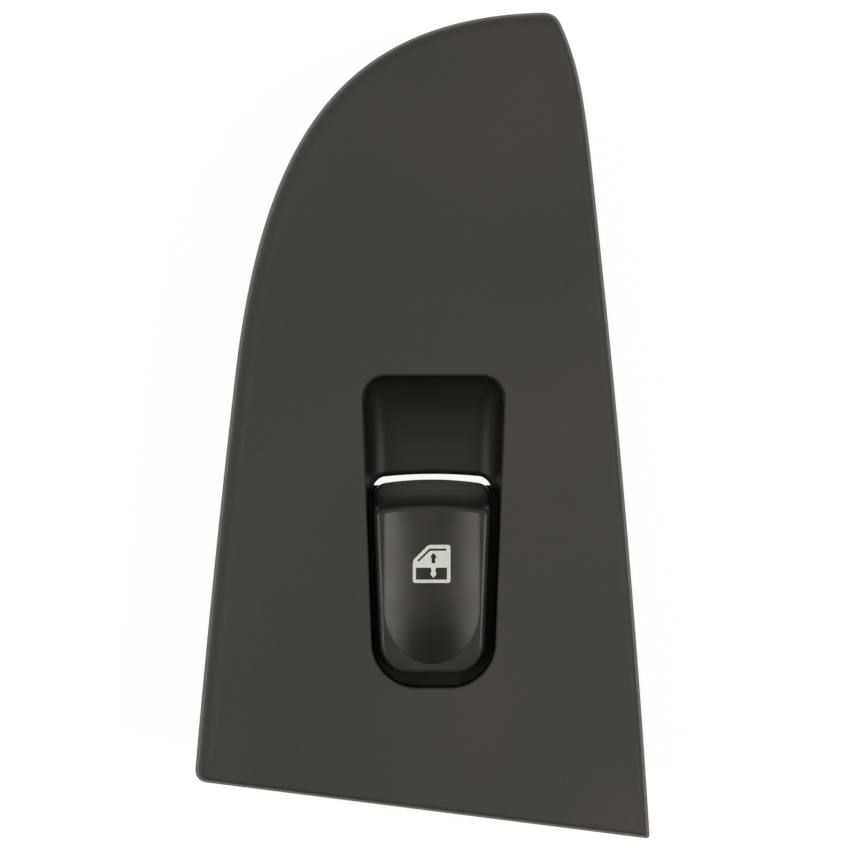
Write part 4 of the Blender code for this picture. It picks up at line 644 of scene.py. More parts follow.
def trimmed(points: list[np.ndarray], length: float) -> list[np.ndarray]:
    """A curve with a length taken off its start.

    Args:
        points: The curve's points.
        length: How much to take off.

    Returns:
        The rest of the curve.
    """
    left = length
    for i in range(len(points) - 1):
        step = float(np.linalg.norm(points[i + 1] - points[i]))
        if step > left:
            return [points[i] + (points[i + 1] - points[i]) * (left / step)] + points[i + 1 :]
        left -= step
    return points[-1:]


def clamp(value: float, low: float = 0.0, high: float = 1.0) -> float:
    """The value kept between two limits."""
    return min(max(value, low), high)


@dataclass
class TaperedOutline:
    """An outline with two tapered sides and four rounded corners, symmetric about X = 0.

    Attributes:
        front_y: Its end towards +Y.
        rear_y: Its other end.
        front_half: Half its width at the front.
        rear_half: Half its width at the rear.
        front_corner: Radius of the front corners.
        rear_corner: Radius of the rear corners.
        least_corner: What is left of a corner where the outline is drawn smaller.
    """

    front_y: float
    rear_y: float
    front_half: float
    rear_half: float
    front_corner: float
    rear_corner: float
    least_corner: float = 0.0005

    def shrunk(self, margin: float) -> "TaperedOutline":
        """The same outline, smaller by a margin all round."""
        halves = self.front_half - margin, self.rear_half - margin
        corners = [max(r - margin, self.least_corner) for r in (self.front_corner, self.rear_corner)]
        return TaperedOutline(self.front_y - margin, self.rear_y + margin, *halves, *corners)

    def half_width(self, y: float) -> float:
        """Half the width at a place along the outline.

        Args:
            y: The place.

        Returns:
            The distance from its middle to its side.
        """
        y = clamp(y, self.rear_y, self.front_y)
        share = (y - self.rear_y) / (self.front_y - self.rear_y)
        half = self.rear_half + (self.front_half - self.rear_half) * share
        into_front = max(y - (self.front_y - self.front_corner), 0.0)
        into_rear = max((self.rear_y + self.rear_corner) - y, 0.0)
        half -= self.front_corner - math.sqrt(max(self.front_corner**2 - into_front**2, 0.0))
        half -= self.rear_corner - math.sqrt(max(self.rear_corner**2 - into_rear**2, 0.0))
        return half

    def loop(self, centre_x: float = 0.0, steps: int = 20) -> list[Flat]:
        """The outline's points.

        Args:
            centre_x: Where its middle lies.
            steps: Stretches round each corner.

        Returns:
            Points, anticlockwise from the front.
        """
        turns = quarter_turns(steps)
        ys = [self.front_y - self.front_corner * (1 - math.cos(t)) for t in turns]
        ys += [self.rear_y + self.rear_corner * (1 - math.cos(t)) for t in reversed(turns)]
        left = [(centre_x - self.half_width(y), y) for y in ys]
        return left + [(centre_x + self.half_width(y), y) for y in reversed(ys)]


class ConvexLoop:
    """A convex loop seen from a centre inside it, which can be drawn smaller or larger."""

    # Sides this near to parallel with a line never meet it
    parallel = 1e-6

    def __init__(self, loop: Sequence[Sequence[float]], centre: Flat) -> None:
        """Works out the loop's sides.

        Args:
            loop: Points, anticlockwise.
            centre: The point that it is seen from.
        """
        points = np.array([tuple(p) for p in loop])
        sides = np.roll(points, -1, axis=0) - points
        lengths = np.linalg.norm(sides, axis=1)
        kept = lengths > SAME_POINT
        points, sides = points[kept], sides[kept] / lengths[kept][:, None]
        self.centre = np.array(centre)
        self.normals = np.stack([sides[:, 1], -sides[:, 0]], axis=1)
        self.distances = ((points - self.centre) * self.normals).sum(axis=1)
        offsets = points - self.centre
        self.angles = list(np.arctan2(offsets[:, 1], offsets[:, 0]))

    def reaches(self, angle: float, inset: float) -> np.ndarray:
        """How far each side lies from the centre along a line at this angle."""
        along = self.normals @ np.array((math.cos(angle), math.sin(angle)))
        ahead = np.maximum(along, self.parallel)
        return np.where(along > self.parallel, (self.distances - inset) / ahead, np.inf)

    def normal(self, angle: float) -> np.ndarray:
        """The outward direction of the side met at this angle."""
        return self.normals[int(self.reaches(angle, 0.0).argmin())]

    def point(self, angle: float, inset: float) -> Flat:
        """The point at this angle on the loop drawn smaller by the inset."""
        way = np.array((math.cos(angle), math.sin(angle)))
        return tuple(self.centre + way * self.reaches(angle, inset).min())

    def edge_x(self, y: float, side: Side, inset: float) -> float:
        """Where the loop drawn smaller by the inset crosses a place along Y.

        Args:
            y: The place.
            side: Which of the two crossings.
            inset: How much smaller the loop is drawn.

        Returns:
            The crossing's X.
        """
        far, halvings = 0.1, 40
        inside, outside = 0.0, side.value * far
        for _ in range(halvings):
            middle = (inside + outside) / 2
            holds = (self.normals @ (np.array((middle, y)) - self.centre) < self.distances - inset).all()
            inside, outside = (middle, outside) if holds else (inside, middle)
        return inside


@dataclass
class Recess:
    """The opening that the finger and the rocker share.

    Attributes:
        outline: Its outline at the show face.
        edge_radius: Radius of its upper edge.
        draft: How far its walls lean in.
        collar_wall: Wall of the collar round it.
    """

    outline: TaperedOutline = field(
        default_factory=lambda: TaperedOutline(-0.0146, -0.0744, 0.01376, 0.01155, 0.0045, 0.0084)
    )
    edge_radius: float = 0.0006
    draft: float = 0.0003
    collar_wall: float = 0.0016


@dataclass
class Scoop:
    """The finger scoop in front of the rocker.

    Attributes:
        lip_y: Where it ends beside the rocker.
        lip_z: Height of its floor there.
        wall: Its thickness.
        lip_roll: Radius of its rounded lip.
        side_fillet: Radius between its floor and the side walls.
        edge_depth: How far below the show face it begins.
        bowl_share: How much of its fall is round rather than even.
        arch_radius: Radius of its lip seen from above.
        slit: Width of the slit between the lip and the rocker's toe.
        toe_corner: Centre of the toe's rounded corner, as X from the rocker's middle, and its radius.
        horn_gap: Gap beside the toe's corner, where the lip passes it.
        horn_degrees: How far round that corner the lip ends.
    """

    lip_y: float = -0.03345
    lip_z: float = 0.0046
    wall: float = 0.0018
    lip_roll: float = 0.0012
    side_fillet: float = 0.0040
    edge_depth: float = 0.0014
    bowl_share: float = 0.55
    arch_radius: float = 0.090
    slit: float = 0.00105
    toe_corner: Flat = (0.0090746, 0.0022)
    horn_gap: float = 0.00035
    horn_degrees: float = 20.0

    def columns(self, half: float, lip_half: float, embed: float) -> list[float]:
        """Places across the scoop, closer together over its side fillets and the corners of its lip.

        Args:
            half: Half the recess's width at this place.
            lip_half: The same at the lip.
            embed: How far the trough reaches into the walls.

        Returns:
            The places, from left to right.
        """
        horn, (centre, radius) = math.radians(self.horn_degrees), self.toe_corner
        corner_steps, middle_steps, side_steps = 16, 20, 10
        turns = [horn + (math.pi / 2 - horn) * i / corner_steps for i in range(corner_steps + 1)]
        reaches = [centre + (radius + self.horn_gap) * math.cos(turn) for turn in turns]
        reaches += [centre * (1 - i / middle_steps) for i in range(1, middle_steps)]
        inner = [*(MODULE_X - x for x in reaches), MODULE_X, *(MODULE_X + x for x in reversed(reaches))]
        inner = [x * half / lip_half for x in inner]
        left = [-half + (inner[0] + half) * i / side_steps for i in range(side_steps)]
        right = [inner[-1] + (half - inner[-1]) * i / side_steps for i in range(1, side_steps + 1)]
        return [-half - embed, *left, *inner, *right, half + embed]

    def setback(self, x: float) -> float:
        """How far the lip reaches back: arched in the middle, rounded about the toe's corners.

        Args:
            x: Place across the scoop.

        Returns:
            The distance towards -Y.
        """
        centre, radius = self.toe_corner
        widest = math.cos(math.radians(self.horn_degrees))
        share = clamp((abs(x - MODULE_X) - centre) / (radius + self.horn_gap), 0.0, widest)
        return x**2 / (2 * self.arch_radius) + (radius + self.slit) * (1 - math.sqrt(1 - share**2))


@dataclass
class TrimPanel:
    """The moulded trim panel, its scoop, and the ribs, posts and tabs under it.

    Attributes:
        apex: The outline's highest point.
        left_shoulder: Where the top curve meets the left side.
        right_shoulder: Where the top curve meets the right side.
        bottom_left: The lower left corner.
        bottom_right: The lower right corner.
        blends: Corner lengths at the lower right, apex and lower left.
        left_slopes: How far the left side leans in X for one unit of Y, at its low and its high end.
        right_slopes: The same at the right side.
        apex_lean: The way that the right curve comes down from the apex.
        pulls: Shares of the way to the apex over which the curves keep their ends' directions.
        blend_steps: Stretches round a blended corner.
        height: Height of the show face over the rim.
        wall: Thickness of the show face and skirt.
        draft: How far the skirt leans in.
        crown: Radii of the show face across and along.
        crown_y: Where the crown is highest.
        rolls: Rounded edge at the left, right, top and bottom.
        roll_drop: Depth of a rounded edge as a share of its reach.
        least_turn: Points on the rings that are closer than this, in degrees, are merged.
        recess: The opening.
        scoop: The finger scoop.
        deck_z: Top of the switch module's deck.
        gap: Gap between pieces that rest on each other.
        embed: How far joined solids reach into each other.
        under_roll: Shares of the rounded edge that the wall's inner side follows, inwards and downwards.
        rib_ys: Where the ribs cross the panel.
        rib: Thickness of a rib and its depth under the show face's wall.
        post: Half the width of the crossed rest post and the thickness of its walls.
        tab_places: Where the clip tabs stand.
        tab_reach: How far their middle lies inside the edge.
        tab: Half a tab's width, its thickness and the height of its foot.
        tab_gusset: A tab's gussets: distance from its middle, half their length, thickness and foot.
        boss: A screw boss's radius, and its radius and the height over which it is chamfered at the foot.
        bore: Radius of its pilot hole, the chamfer at its mouth and its depth from the deck.
    """

    apex: Flat = (0.0234, 0.0553)
    left_shoulder: Flat = (-0.0382, -0.0150)
    right_shoulder: Flat = (0.0321, 0.0098)
    bottom_left: Flat = (-0.0460, -0.0925)
    bottom_right: Flat = (0.0416, -0.1036)
    blends: Point = (0.0009, 0.0024, 0.0026)
    left_slopes: Flat = (0.086, 0.115)
    right_slopes: Flat = (-0.062, -0.105)
    apex_lean: Flat = (0.12, -0.24)
    pulls: Point = (0.60, 0.68, 0.64)
    blend_steps: int = 14
    height: float = 0.0130
    wall: float = 0.0024
    draft: float = 0.0006
    crown: Flat = (0.420, 1.600)
    crown_y: float = -0.0240
    rolls: tuple[float, float, float, float] = (0.0036, 0.0014, 0.0022, 0.0008)
    roll_drop: float = 0.85
    least_turn: float = 0.12
    recess: Recess = field(default_factory=Recess)
    scoop: Scoop = field(default_factory=Scoop)
    deck_z: float = -0.0019
    gap: float = 0.0003
    embed: float = 0.0008
    under_roll: Flat = (0.7, 0.5)
    rib_ys: Point = (0.0260, 0.0, -0.0900)
    rib: Flat = (0.0012, 0.0050)
    post: Flat = (0.0050, 0.0016)
    tab_places: tuple[tuple[float, Side], ...] = (
        (0.0400, Side.RIGHT),
        (-0.0260, Side.LEFT),
        (-0.0200, Side.RIGHT),
        (-0.0800, Side.LEFT),
        (-0.0800, Side.RIGHT),
    )
    tab_reach: float = 0.0125
    tab: Point = (0.0040, 0.0018, -0.0070)
    tab_gusset: tuple[float, float, float, float] = (0.0028, 0.0040, 0.0012, 0.0013)
    boss: Point = (0.0033, 0.0030, 0.0003)
    bore: Point = (0.00175, 0.0002, 0.0085)

    def crown_z(self, x: float, y: float) -> float:
        """Height of the show face at a place."""
        return self.height - (y - self.crown_y) ** 2 / (2 * self.crown[1]) - x**2 / (2 * self.crown[0])

    def outline(self) -> list[np.ndarray]:
        """The panel's outline at its rim.

        Returns:
            Points, anticlockwise from the lower left corner.
        """
        bottom_left, bottom_right = np.array(self.bottom_left), np.array(self.bottom_right)
        right, apex, left = np.array(self.right_shoulder), np.array(self.apex), np.array(self.left_shoulder)
        right_third = (right - bottom_right)[1] / 3
        left_third = (left - bottom_left)[1] / 3
        rise = (apex - right)[1]
        crest_run, crest_rise = apex - left
        along = (bottom_right - bottom_left) / 3
        low_right, high_right, low_left, high_left = (
            np.array((slope, 1.0)) for slope in (*self.right_slopes, *self.left_slopes)
        )
        lean = np.array(self.apex_lean)
        right_pull, crest_pull, left_pull = self.pulls
        crest = apex - np.array((crest_run * crest_pull, 0.0))
        right_way = bottom_right + low_right * right_third, right - high_right * right_third
        left_way = left - high_left * left_third, bottom_left + low_left * left_third
        sides = [
            ([bottom_left, bottom_left + along, bottom_right - along, bottom_right], 24),
            ([bottom_right, *right_way, right], 32),
            ([right, right + high_right * rise * right_pull, apex + lean * rise, apex], 32),
            ([apex, crest, left + high_left * crest_rise * left_pull, left], 80),
            ([left, *left_way, bottom_left], 32),
        ]
        pieces = [bezier(controls, steps) for controls, steps in sides]
        blends = [self.blends[0], 0.0, self.blends[1], 0.0, self.blends[2]]
        kept = []
        for k, piece in enumerate(pieces):
            points = trimmed(piece, blends[k - 1]) if blends[k - 1] else piece
            kept.append(trimmed(points[::-1], blends[k])[::-1] if blends[k] else points)
        loop: list[np.ndarray] = []
        for k, points in enumerate(kept):
            loop.extend(points[:-1])
            if blends[k]:
                corner, following = pieces[k][-1], kept[(k + 1) % len(pieces)][0]
                for t in (i / self.blend_steps for i in range(self.blend_steps)):
                    loop.append((1 - t) ** 2 * points[-1] + 2 * t * (1 - t) * corner + t**2 * following)
        return loop

    def roll(self, normal: np.ndarray) -> float:
        """How far the rounded edge reaches in.

        Args:
            normal: The way that the edge faces.

        Returns:
            The reach.
        """
        across = self.rolls[0] if normal[0] < 0 else self.rolls[1]
        along = self.rolls[3] if normal[1] < 0 else self.rolls[2]
        return float(normal[0] ** 2 * across + normal[1] ** 2 * along)

    def shell_rings(self, outer: ConvexLoop) -> list[list[Point]]:
        """The closed section that is swept round the panel.

        Args:
            outer: The outline at the rim.

        Returns:
            Rings from the rim over the show face and down the recess, then back along the underside.
        """
        edge, edge_radius = self.recess.outline, self.recess.edge_radius
        opening = ConvexLoop(edge.loop(), tuple(outer.centre))
        angles: list[float] = []
        for angle in sorted(outer.angles + opening.angles):
            if not angles or angle - angles[-1] > math.radians(self.least_turn):
                angles.append(angle)
        normals = [outer.normal(a) for a in angles]
        spans = range(-3, 4)
        count = len(angles)
        rolls = [sum(self.roll(normals[(i + k) % count]) for k in spans) / len(spans) for i in range(count)]
        tops = [self.crown_z(*outer.point(a, self.draft + roll)) for a, roll in zip(angles, rolls)]

        def outside(insets: Sequence[float], heights: Sequence[float]) -> list[Point]:
            """A ring that follows the outline."""
            return [(*outer.point(a, inset), z) for a, inset, z in zip(angles, insets, heights)]

        def inside(outset: float, heights: Sequence[float]) -> list[Point]:
            """A ring that follows the recess."""
            return [(*opening.point(a, -outset), z) for a, z in zip(angles, heights)]

        def between(
            first: Sequence[Point], second: Sequence[Point], share: float, drop: float = 0.0
        ) -> list[Point]:
            """A ring on the show face, or below it, between two others.

            Args:
                first: The ring at one side.
                second: The ring at the other side.
                share: How far it lies from the first to the second.
                drop: How far below the show face it lies.

            Returns:
                The ring.
            """
            ring = []
            for p, q in zip(first, second):
                x, y = p[0] + (q[0] - p[0]) * share, p[1] + (q[1] - p[1]) * share
                ring.append((x, y, self.crown_z(x, y) - drop))
            return ring

        rings = [outside([0.0] * count, [0.0] * count)]
        for turn in quarter_turns(14):
            insets = [self.draft + roll * (1 - math.cos(turn)) for roll in rolls]
            drops = [roll * self.roll_drop * (1 - math.sin(turn)) for roll in rolls]
            rings.append(outside(insets, [top - drop for top, drop in zip(tops, drops)]))
        start = inside(edge_radius, [self.crown_z(*opening.point(a, -edge_radius)) for a in angles])
        roll_end = rings[-1]
        rings += [between(roll_end, start, k / 12) for k in range(1, 12)]
        rings.append(start)
        heights = [self.crown_z(*opening.point(a, 0.0)) for a in angles]
        for turn in quarter_turns(8, 1):
            fall, outset = edge_radius * (1 - math.cos(turn)), edge_radius * (1 - math.sin(turn))
            rings.append(inside(outset, [z - fall for z in heights]))
        scoop_end, deck_end = self.scoop.lip_z - self.scoop.wall - self.gap, self.deck_z + self.gap
        ends = [scoop_end if opening.point(a, 0.0)[1] > self.scoop.lip_y else deck_end for a in angles]
        collar, draft = self.recess.collar_wall, self.recess.draft
        rings += [inside(-draft, ends), inside(collar - draft, ends)]
        top = inside(collar, [self.crown_z(*opening.point(a, -collar)) - self.wall for a in angles])
        inwards, downwards = self.under_roll
        insets = [self.draft + roll * inwards + self.wall for roll in rolls]
        under = outside(insets, [z - self.wall for z in tops])
        rings += [top, *(between(top, under, k / 6, self.wall) for k in range(1, 6)), under]
        skirt = [z - roll * downwards - self.wall for z, roll in zip(tops, rolls)]
        rings.append(outside([self.draft + self.wall] * count, skirt))
        rings.append(outside([self.wall] * count, [0.0] * count))
        return rings

    def scoop_floor_z(self, y: float) -> float:
        """Height of the scoop's floor on its centre line.

        Args:
            y: Place along the scoop.

        Returns:
            The height.
        """
        scoop, front_y = self.scoop, self.recess.outline.front_y
        share = clamp((y - scoop.lip_y) / (front_y - scoop.lip_y))
        bowl = 1 - math.sqrt(1 - share**2)
        fall = self.height - scoop.edge_depth - scoop.lip_z
        return scoop.lip_z + fall * (scoop.bowl_share * bowl + (1 - scoop.bowl_share) * share**2)

    def scoop_rows(self) -> Rows:
        """The trough from the recess's front wall down to its rounded, arched lip.

        Returns:
            Rows of upper and lower points.
        """
        scoop, edge = self.scoop, self.recess.outline
        edge_z = self.height - scoop.edge_depth
        roll_y = scoop.lip_y + scoop.lip_roll
        lip_half = edge.half_width(scoop.lip_y) - self.recess.draft
        ys = [edge.front_y + self.embed]
        ys += [roll_y + (edge.front_y - roll_y) * math.cos(turn) for turn in quarter_turns(48)]
        ys += [roll_y - scoop.lip_roll * math.sin(turn) for turn in quarter_turns(10, 1)]
        rows = []
        for y in ys:
            half = edge.half_width(y) - self.recess.draft
            floor = self.scoop_floor_z(y)
            into_roll = clamp((roll_y - y) / scoop.lip_roll)
            roll_drop = scoop.lip_roll * (1 - math.sqrt(1 - into_roll**2))
            towards_lip = clamp((edge.front_y - y) / (edge.front_y - scoop.lip_y))
            row = []
            for x in scoop.columns(half, lip_half, self.embed):
                into_fillet = max(scoop.side_fillet - max(half - abs(x), 0.0), 0.0)
                rise = scoop.side_fillet - math.sqrt(scoop.side_fillet**2 - into_fillet**2)
                upper = floor + rise * min((edge_z - floor) / scoop.side_fillet, 1.0) - roll_drop
                lower = min(floor - scoop.wall, upper - self.embed)
                arched = y - scoop.setback(x) * towards_lip**2
                row.append(((x, arched, upper), (x, arched, lower)))
            rows.append(row)
        return rows

    def wall_rows(self, start: Flat, end: Flat, thickness: float, foot_z: float) -> Rows:
        """An upright wall on the underside from one point to another.

        Args:
            start: Its start.
            end: Its end.
            thickness: Its thickness.
            foot_z: Where it ends below.

        Returns:
            Rows of upper and lower points.
        """
        first, last = np.array(start), np.array(end)
        along = (last - first) / np.linalg.norm(last - first)
        side = np.array((-along[1], along[0])) * thickness / 2
        rows, steps = [], 12
        for i in range(steps + 1):
            middle = first + (last - first) * i / steps
            pairs = [(*edge, self.crown_z(*edge) - self.wall / 2) for edge in (middle - side, middle + side)]
            rows.append([(pair, (pair[0], pair[1], foot_z)) for pair in pairs])
        return rows

    def underside(self, draft: Draft, outer: ConvexLoop) -> None:
        """Adds the ribs, the rest post, the clip tabs and the screw bosses.

        Args:
            draft: The draft that takes them.
            outer: The outline at the rim.
        """
        inset, (rib_wall, rib_depth) = self.draft + self.wall / 2, self.rib
        for y in self.rib_ys:
            ends = [(outer.edge_x(y, side, inset), y) for side in Side]
            foot = min(self.crown_z(*end) for end in ends) - self.wall - rib_depth
            draft.slab(self.wall_rows(*ends, rib_wall, foot))
        half, thickness = self.post
        draft.slab(self.wall_rows((-half, 0.0), (half, 0.0), thickness, 0.0))
        draft.slab(self.wall_rows((0.0, -half), (0.0, half), thickness, 0.0))
        half, thickness, foot = self.tab
        apart, length, gusset, gusset_foot = self.tab_gusset
        for y, side in self.tab_places:
            x = outer.edge_x(y, side, self.wall / 2) - side.value * self.tab_reach
            draft.slab(self.wall_rows((x - half, y), (x + half, y), thickness, foot))
            for reach in (-apart, apart):
                ends = (x + reach, y - length), (x + reach, y + length)
                draft.slab(self.wall_rows(*ends, gusset, gusset_foot))
        radius, foot_radius, rise = self.boss
        (bore, mouth, depth), foot = self.bore, self.deck_z + self.gap
        for place in SCREW_PLACES:
            top, roof = self.crown_z(*place) - self.wall / 2, self.deck_z + depth
            profile = [(0.0, top), (radius, top), (radius, foot + rise), (foot_radius, foot)]
            profile += [(bore + mouth, foot), (bore, foot + mouth), (bore, roof), (0.0, roof)]
            draft.turned(profile, place)

    def build(self, grained: Material, smooth: Material) -> Object:
        """Builds the panel.

        Args:
            grained: The plastic of its show face.
            smooth: The same plastic where the tool was left smooth, in the recess, its colour darkened as
                painted shade.

        Returns:
            The finished piece.
        """
        edge = self.recess.outline
        outer = ConvexLoop(self.outline(), (0.0, (edge.front_y + edge.rear_y) / 2))
        # The recess wall's rings and the whole scoop take the smooth plastic darkened with painted shade
        recess_wall = range(34, 37)
        draft = Draft().ring_solid(self.shell_rings(outer), recess_wall).slab(self.scoop_rows(), 1)
        self.underside(draft, outer)
        piece = draft.make("grained_panel")
        return settle(piece, [grained, smooth], "panel", ["trim_panel"])


@dataclass
class Rocker:
    """The rocker: concave front, rounded lip, crowned top with a thumb dish, rounded heel.

    Attributes:
        toe_y: Its front end beside the scoop's lip.
        rear_y: Its rear end.
        pivot: Its axis, as (Y, Z).
        side_gap: Gap to the recess at each side.
        toe_corner: Radius of the front corners.
        rear_corner: Radius of the rear corners.
        crest: Where its top is highest, as (Y, Z).
        top_radius: Radius of the top from front to rear.
        side_fall: How far the top falls at its sides.
        edge_radius: Radius of its upper edges.
        lip_setback: How far the finger lip lies behind the toe.
        lip_radius: Radius of the finger lip.
        toe_z: Height of the toe.
        top_wall: Wall of the top.
        side_wall: Wall of the sides.
        toe_shelf: Where the hollow starts behind the toe.
        knuckle: Depth of the lower edge below the pivot.
        relief_degrees: How steeply the lower edge rises from there.
        arch_radius: Radius of the toe and lip seen from above.
        dish_half: Half the dish's width.
        dish_depth: Its depth.
        dish_turn_y: Where its straight sides end.
        dish_end: Length of its rounded end.
        rim_share: Share of the dish's depth over which its rim is rounded.
        embed: How far joined solids and cutting tools reach past a face.
        sharp_degrees: Edges bent by more than this stay sharp.
        barrel: Radius of the plungers' barrels and the height of their feet.
        bore: Radius of the plungers' bores, and their lower and upper ends.
        eye: Radius of the trunnions' eyes, and where they begin beside the middle.
    """

    toe_y: float = -0.0345
    rear_y: float = -0.0716
    pivot: Flat = PIVOT
    side_gap: float = 0.00175
    toe_corner: float = 0.0022
    rear_corner: float = 0.0055
    crest: Flat = (-0.0460, 0.0119)
    top_radius: float = 0.130
    side_fall: float = 0.0004
    edge_radius: float = 0.0010
    lip_setback: float = 0.0048
    lip_radius: float = 0.0012
    toe_z: float = 0.0046
    top_wall: float = 0.0031
    side_wall: float = 0.0018
    toe_shelf: float = 0.0030
    knuckle: float = 0.0029
    relief_degrees: float = 9.0
    arch_radius: float = 0.062
    dish_half: float = 0.0092
    dish_depth: float = 0.0017
    dish_turn_y: float = -0.0590
    dish_end: float = 0.0110
    rim_share: float = 0.05
    embed: float = 0.0008
    sharp_degrees: float = 40.0
    barrel: Flat = (0.0021, -0.0066)
    bore: Point = (0.0014, -0.0074, 0.0067)
    eye: Flat = (0.0018, 0.007984)

    def outline(self, recess: TaperedOutline) -> TaperedOutline:
        """The rocker's outline, a side gap inside the recess.

        Args:
            recess: The recess's outline.

        Returns:
            The rocker's own outline.
        """
        taper = (recess.front_half - recess.rear_half) / (recess.front_y - recess.rear_y)
        ends = self.toe_y, self.rear_y
        halves = [recess.rear_half + (y - recess.rear_y) * taper - self.side_gap for y in ends]
        return TaperedOutline(*ends, *halves, self.toe_corner, self.rear_corner)

    @property
    def lip_start_y(self) -> float:
        """Where the rounded lip turns into the top."""
        return self.toe_y - self.lip_setback - self.lip_radius

    def top_z(self, y: float) -> float:
        """Height of the top along the centre line, before the dish."""
        return self.crest[1] - (y - self.crest[0]) ** 2 / (2 * self.top_radius)

    def under_z(self, y: float) -> float:
        """Height of the lower edge."""
        slope = math.tan(math.radians(self.relief_degrees))
        return self.pivot[1] - self.knuckle + abs(y - self.pivot[0]) * slope

    def end_share(self, y: float) -> float:
        """How far a place lies along the dish's rounded end, from 0 to 1."""
        return clamp((self.dish_turn_y - y) / self.dish_end)

    def dish(self, x: float, y: float) -> float:
        """Depth of the thumb dish, whose rim is slightly rounded.

        Args:
            x: Distance from the rocker's middle.
            y: Place along the rocker.

        Returns:
            The depth.
        """
        share, blend = 1 - self.end_share(y) ** 2 - (x / self.dish_half) ** 2, self.rim_share
        rounded = (share + blend) ** 2 / (4 * blend) if abs(share) < blend else max(share, 0.0)
        return self.dish_depth * rounded

    def profile(self) -> list[Point]:
        """The upper line from the toe over the lip to the heel.

        Returns:
            (y, z, share of the dish's depth) points.
        """
        lip_y = self.lip_start_y
        wall_top = self.top_z(lip_y) - self.lip_radius
        heel_y = self.rear_y + self.edge_radius
        heel_z = self.top_z(heel_y) - self.edge_radius
        line = []
        front_steps, front_crowding, top_steps = 40, 1.6, 170
        for i in range(front_steps):
            turn = (i / front_steps) ** front_crowding * math.pi / 2
            z = wall_top - (wall_top - self.toe_z) * math.cos(turn)
            line.append((self.toe_y - self.lip_setback * math.sin(turn), z, math.sin(turn)))
        for turn in quarter_turns(12)[:-1]:
            y = lip_y + self.lip_radius * math.cos(turn)
            line.append((y, wall_top + self.lip_radius * math.sin(turn), 1.0))
        for y in (lip_y + (heel_y - lip_y) * i / top_steps for i in range(top_steps)):
            line.append((y, self.top_z(y), 1.0))
        for turn in quarter_turns(10):
            y = heel_y - self.edge_radius * math.sin(turn)
            line.append((y, heel_z + self.edge_radius * math.cos(turn), 1.0))
        return line

    def columns(self, y: float, half: float) -> list[float]:
        """Places across the rocker: its rounded edges, the strips beside the dish and the dish.

        Args:
            y: Place along the rocker.
            half: Half its width there.

        Returns:
            Distances from its middle, from left to right.
        """
        right = [half - self.edge_radius * (1 - math.cos(turn)) for turn in quarter_turns(10)]
        strip_steps, dish_steps, most = 14, 28, 0.98
        rim = min(self.dish_half, right[-1] * most) * math.sqrt(1 - min(self.end_share(y), most) ** 2)
        right += [right[-1] + (rim - right[-1]) * i / strip_steps for i in range(1, strip_steps + 1)]
        right += [rim * (1 - i / dish_steps) for i in range(1, dish_steps)]
        return [-x for x in right] + [0.0] + right[::-1]

    def blank(self, outline: TaperedOutline) -> Object:
        """The outer form, with the dish already in its top.

        Args:
            outline: The rocker's outline.

        Returns:
            A closed solid.
        """
        lip_y = self.toe_y - self.lip_setback
        rows = []
        for y, z, dished in self.profile():
            half = outline.half_width(y)
            arch = clamp((y - self.pivot[0]) / (lip_y - self.pivot[0]))
            row = []
            for x in self.columns(y, half):
                arched = y - x**2 / (2 * self.arch_radius) * arch**2
                into_edge = max(abs(x) - (half - self.edge_radius), 0.0)
                edge_drop = self.edge_radius - math.sqrt(max(self.edge_radius**2 - into_edge**2, 0.0))
                upper = z - self.side_fall * (x / half) ** 2 - edge_drop - self.dish(x, y) * dished
                row.append(((MODULE_X + x, arched, upper), (MODULE_X + x, arched, self.under_z(y))))
            rows.append(row)
        return Draft().slab(rows).make("satin_rocker", self.sharp_degrees)

    def hollow(self, outline: TaperedOutline) -> Object:
        """The space under the rocker's skin.

        Args:
            outline: The rocker's outline.

        Returns:
            The space as a solid.
        """
        wall_top = self.top_z(self.lip_start_y) - self.lip_radius
        run, rise = self.lip_setback + self.side_wall, wall_top - self.toe_z + self.side_wall
        front_y, heel_y = self.toe_y - run, self.rear_y + self.side_wall
        floor_z = self.under_z(self.pivot[0]) - self.embed
        top_steps, front_steps = 24, 16
        ceiling = [heel_y + (front_y - heel_y) * i / top_steps for i in range(top_steps)]
        side_view = [(heel_y, floor_z)] + [(y, self.top_z(y) - self.top_wall) for y in ceiling]
        first = math.acos((wall_top - self.top_z(front_y) + self.top_wall) / rise)
        last = math.asin(self.toe_shelf / run)
        turns = [first + (last - first) * i / front_steps for i in range(front_steps + 1)]
        side_view += [(self.toe_y - run * math.sin(t), wall_top - rise * math.cos(t)) for t in turns]
        side_view.append((side_view[-1][0], floor_z))
        reach = outline.front_half
        space = Draft().extruded(side_view, MODULE_X - reach, MODULE_X + reach, "X").make("hollow")
        plan = outline.shrunk(self.side_wall).loop(MODULE_X)
        core = Draft().extruded(plan, floor_z - self.embed, self.crest[1]).make("plan")
        return carved(space, core, "INTERSECT")

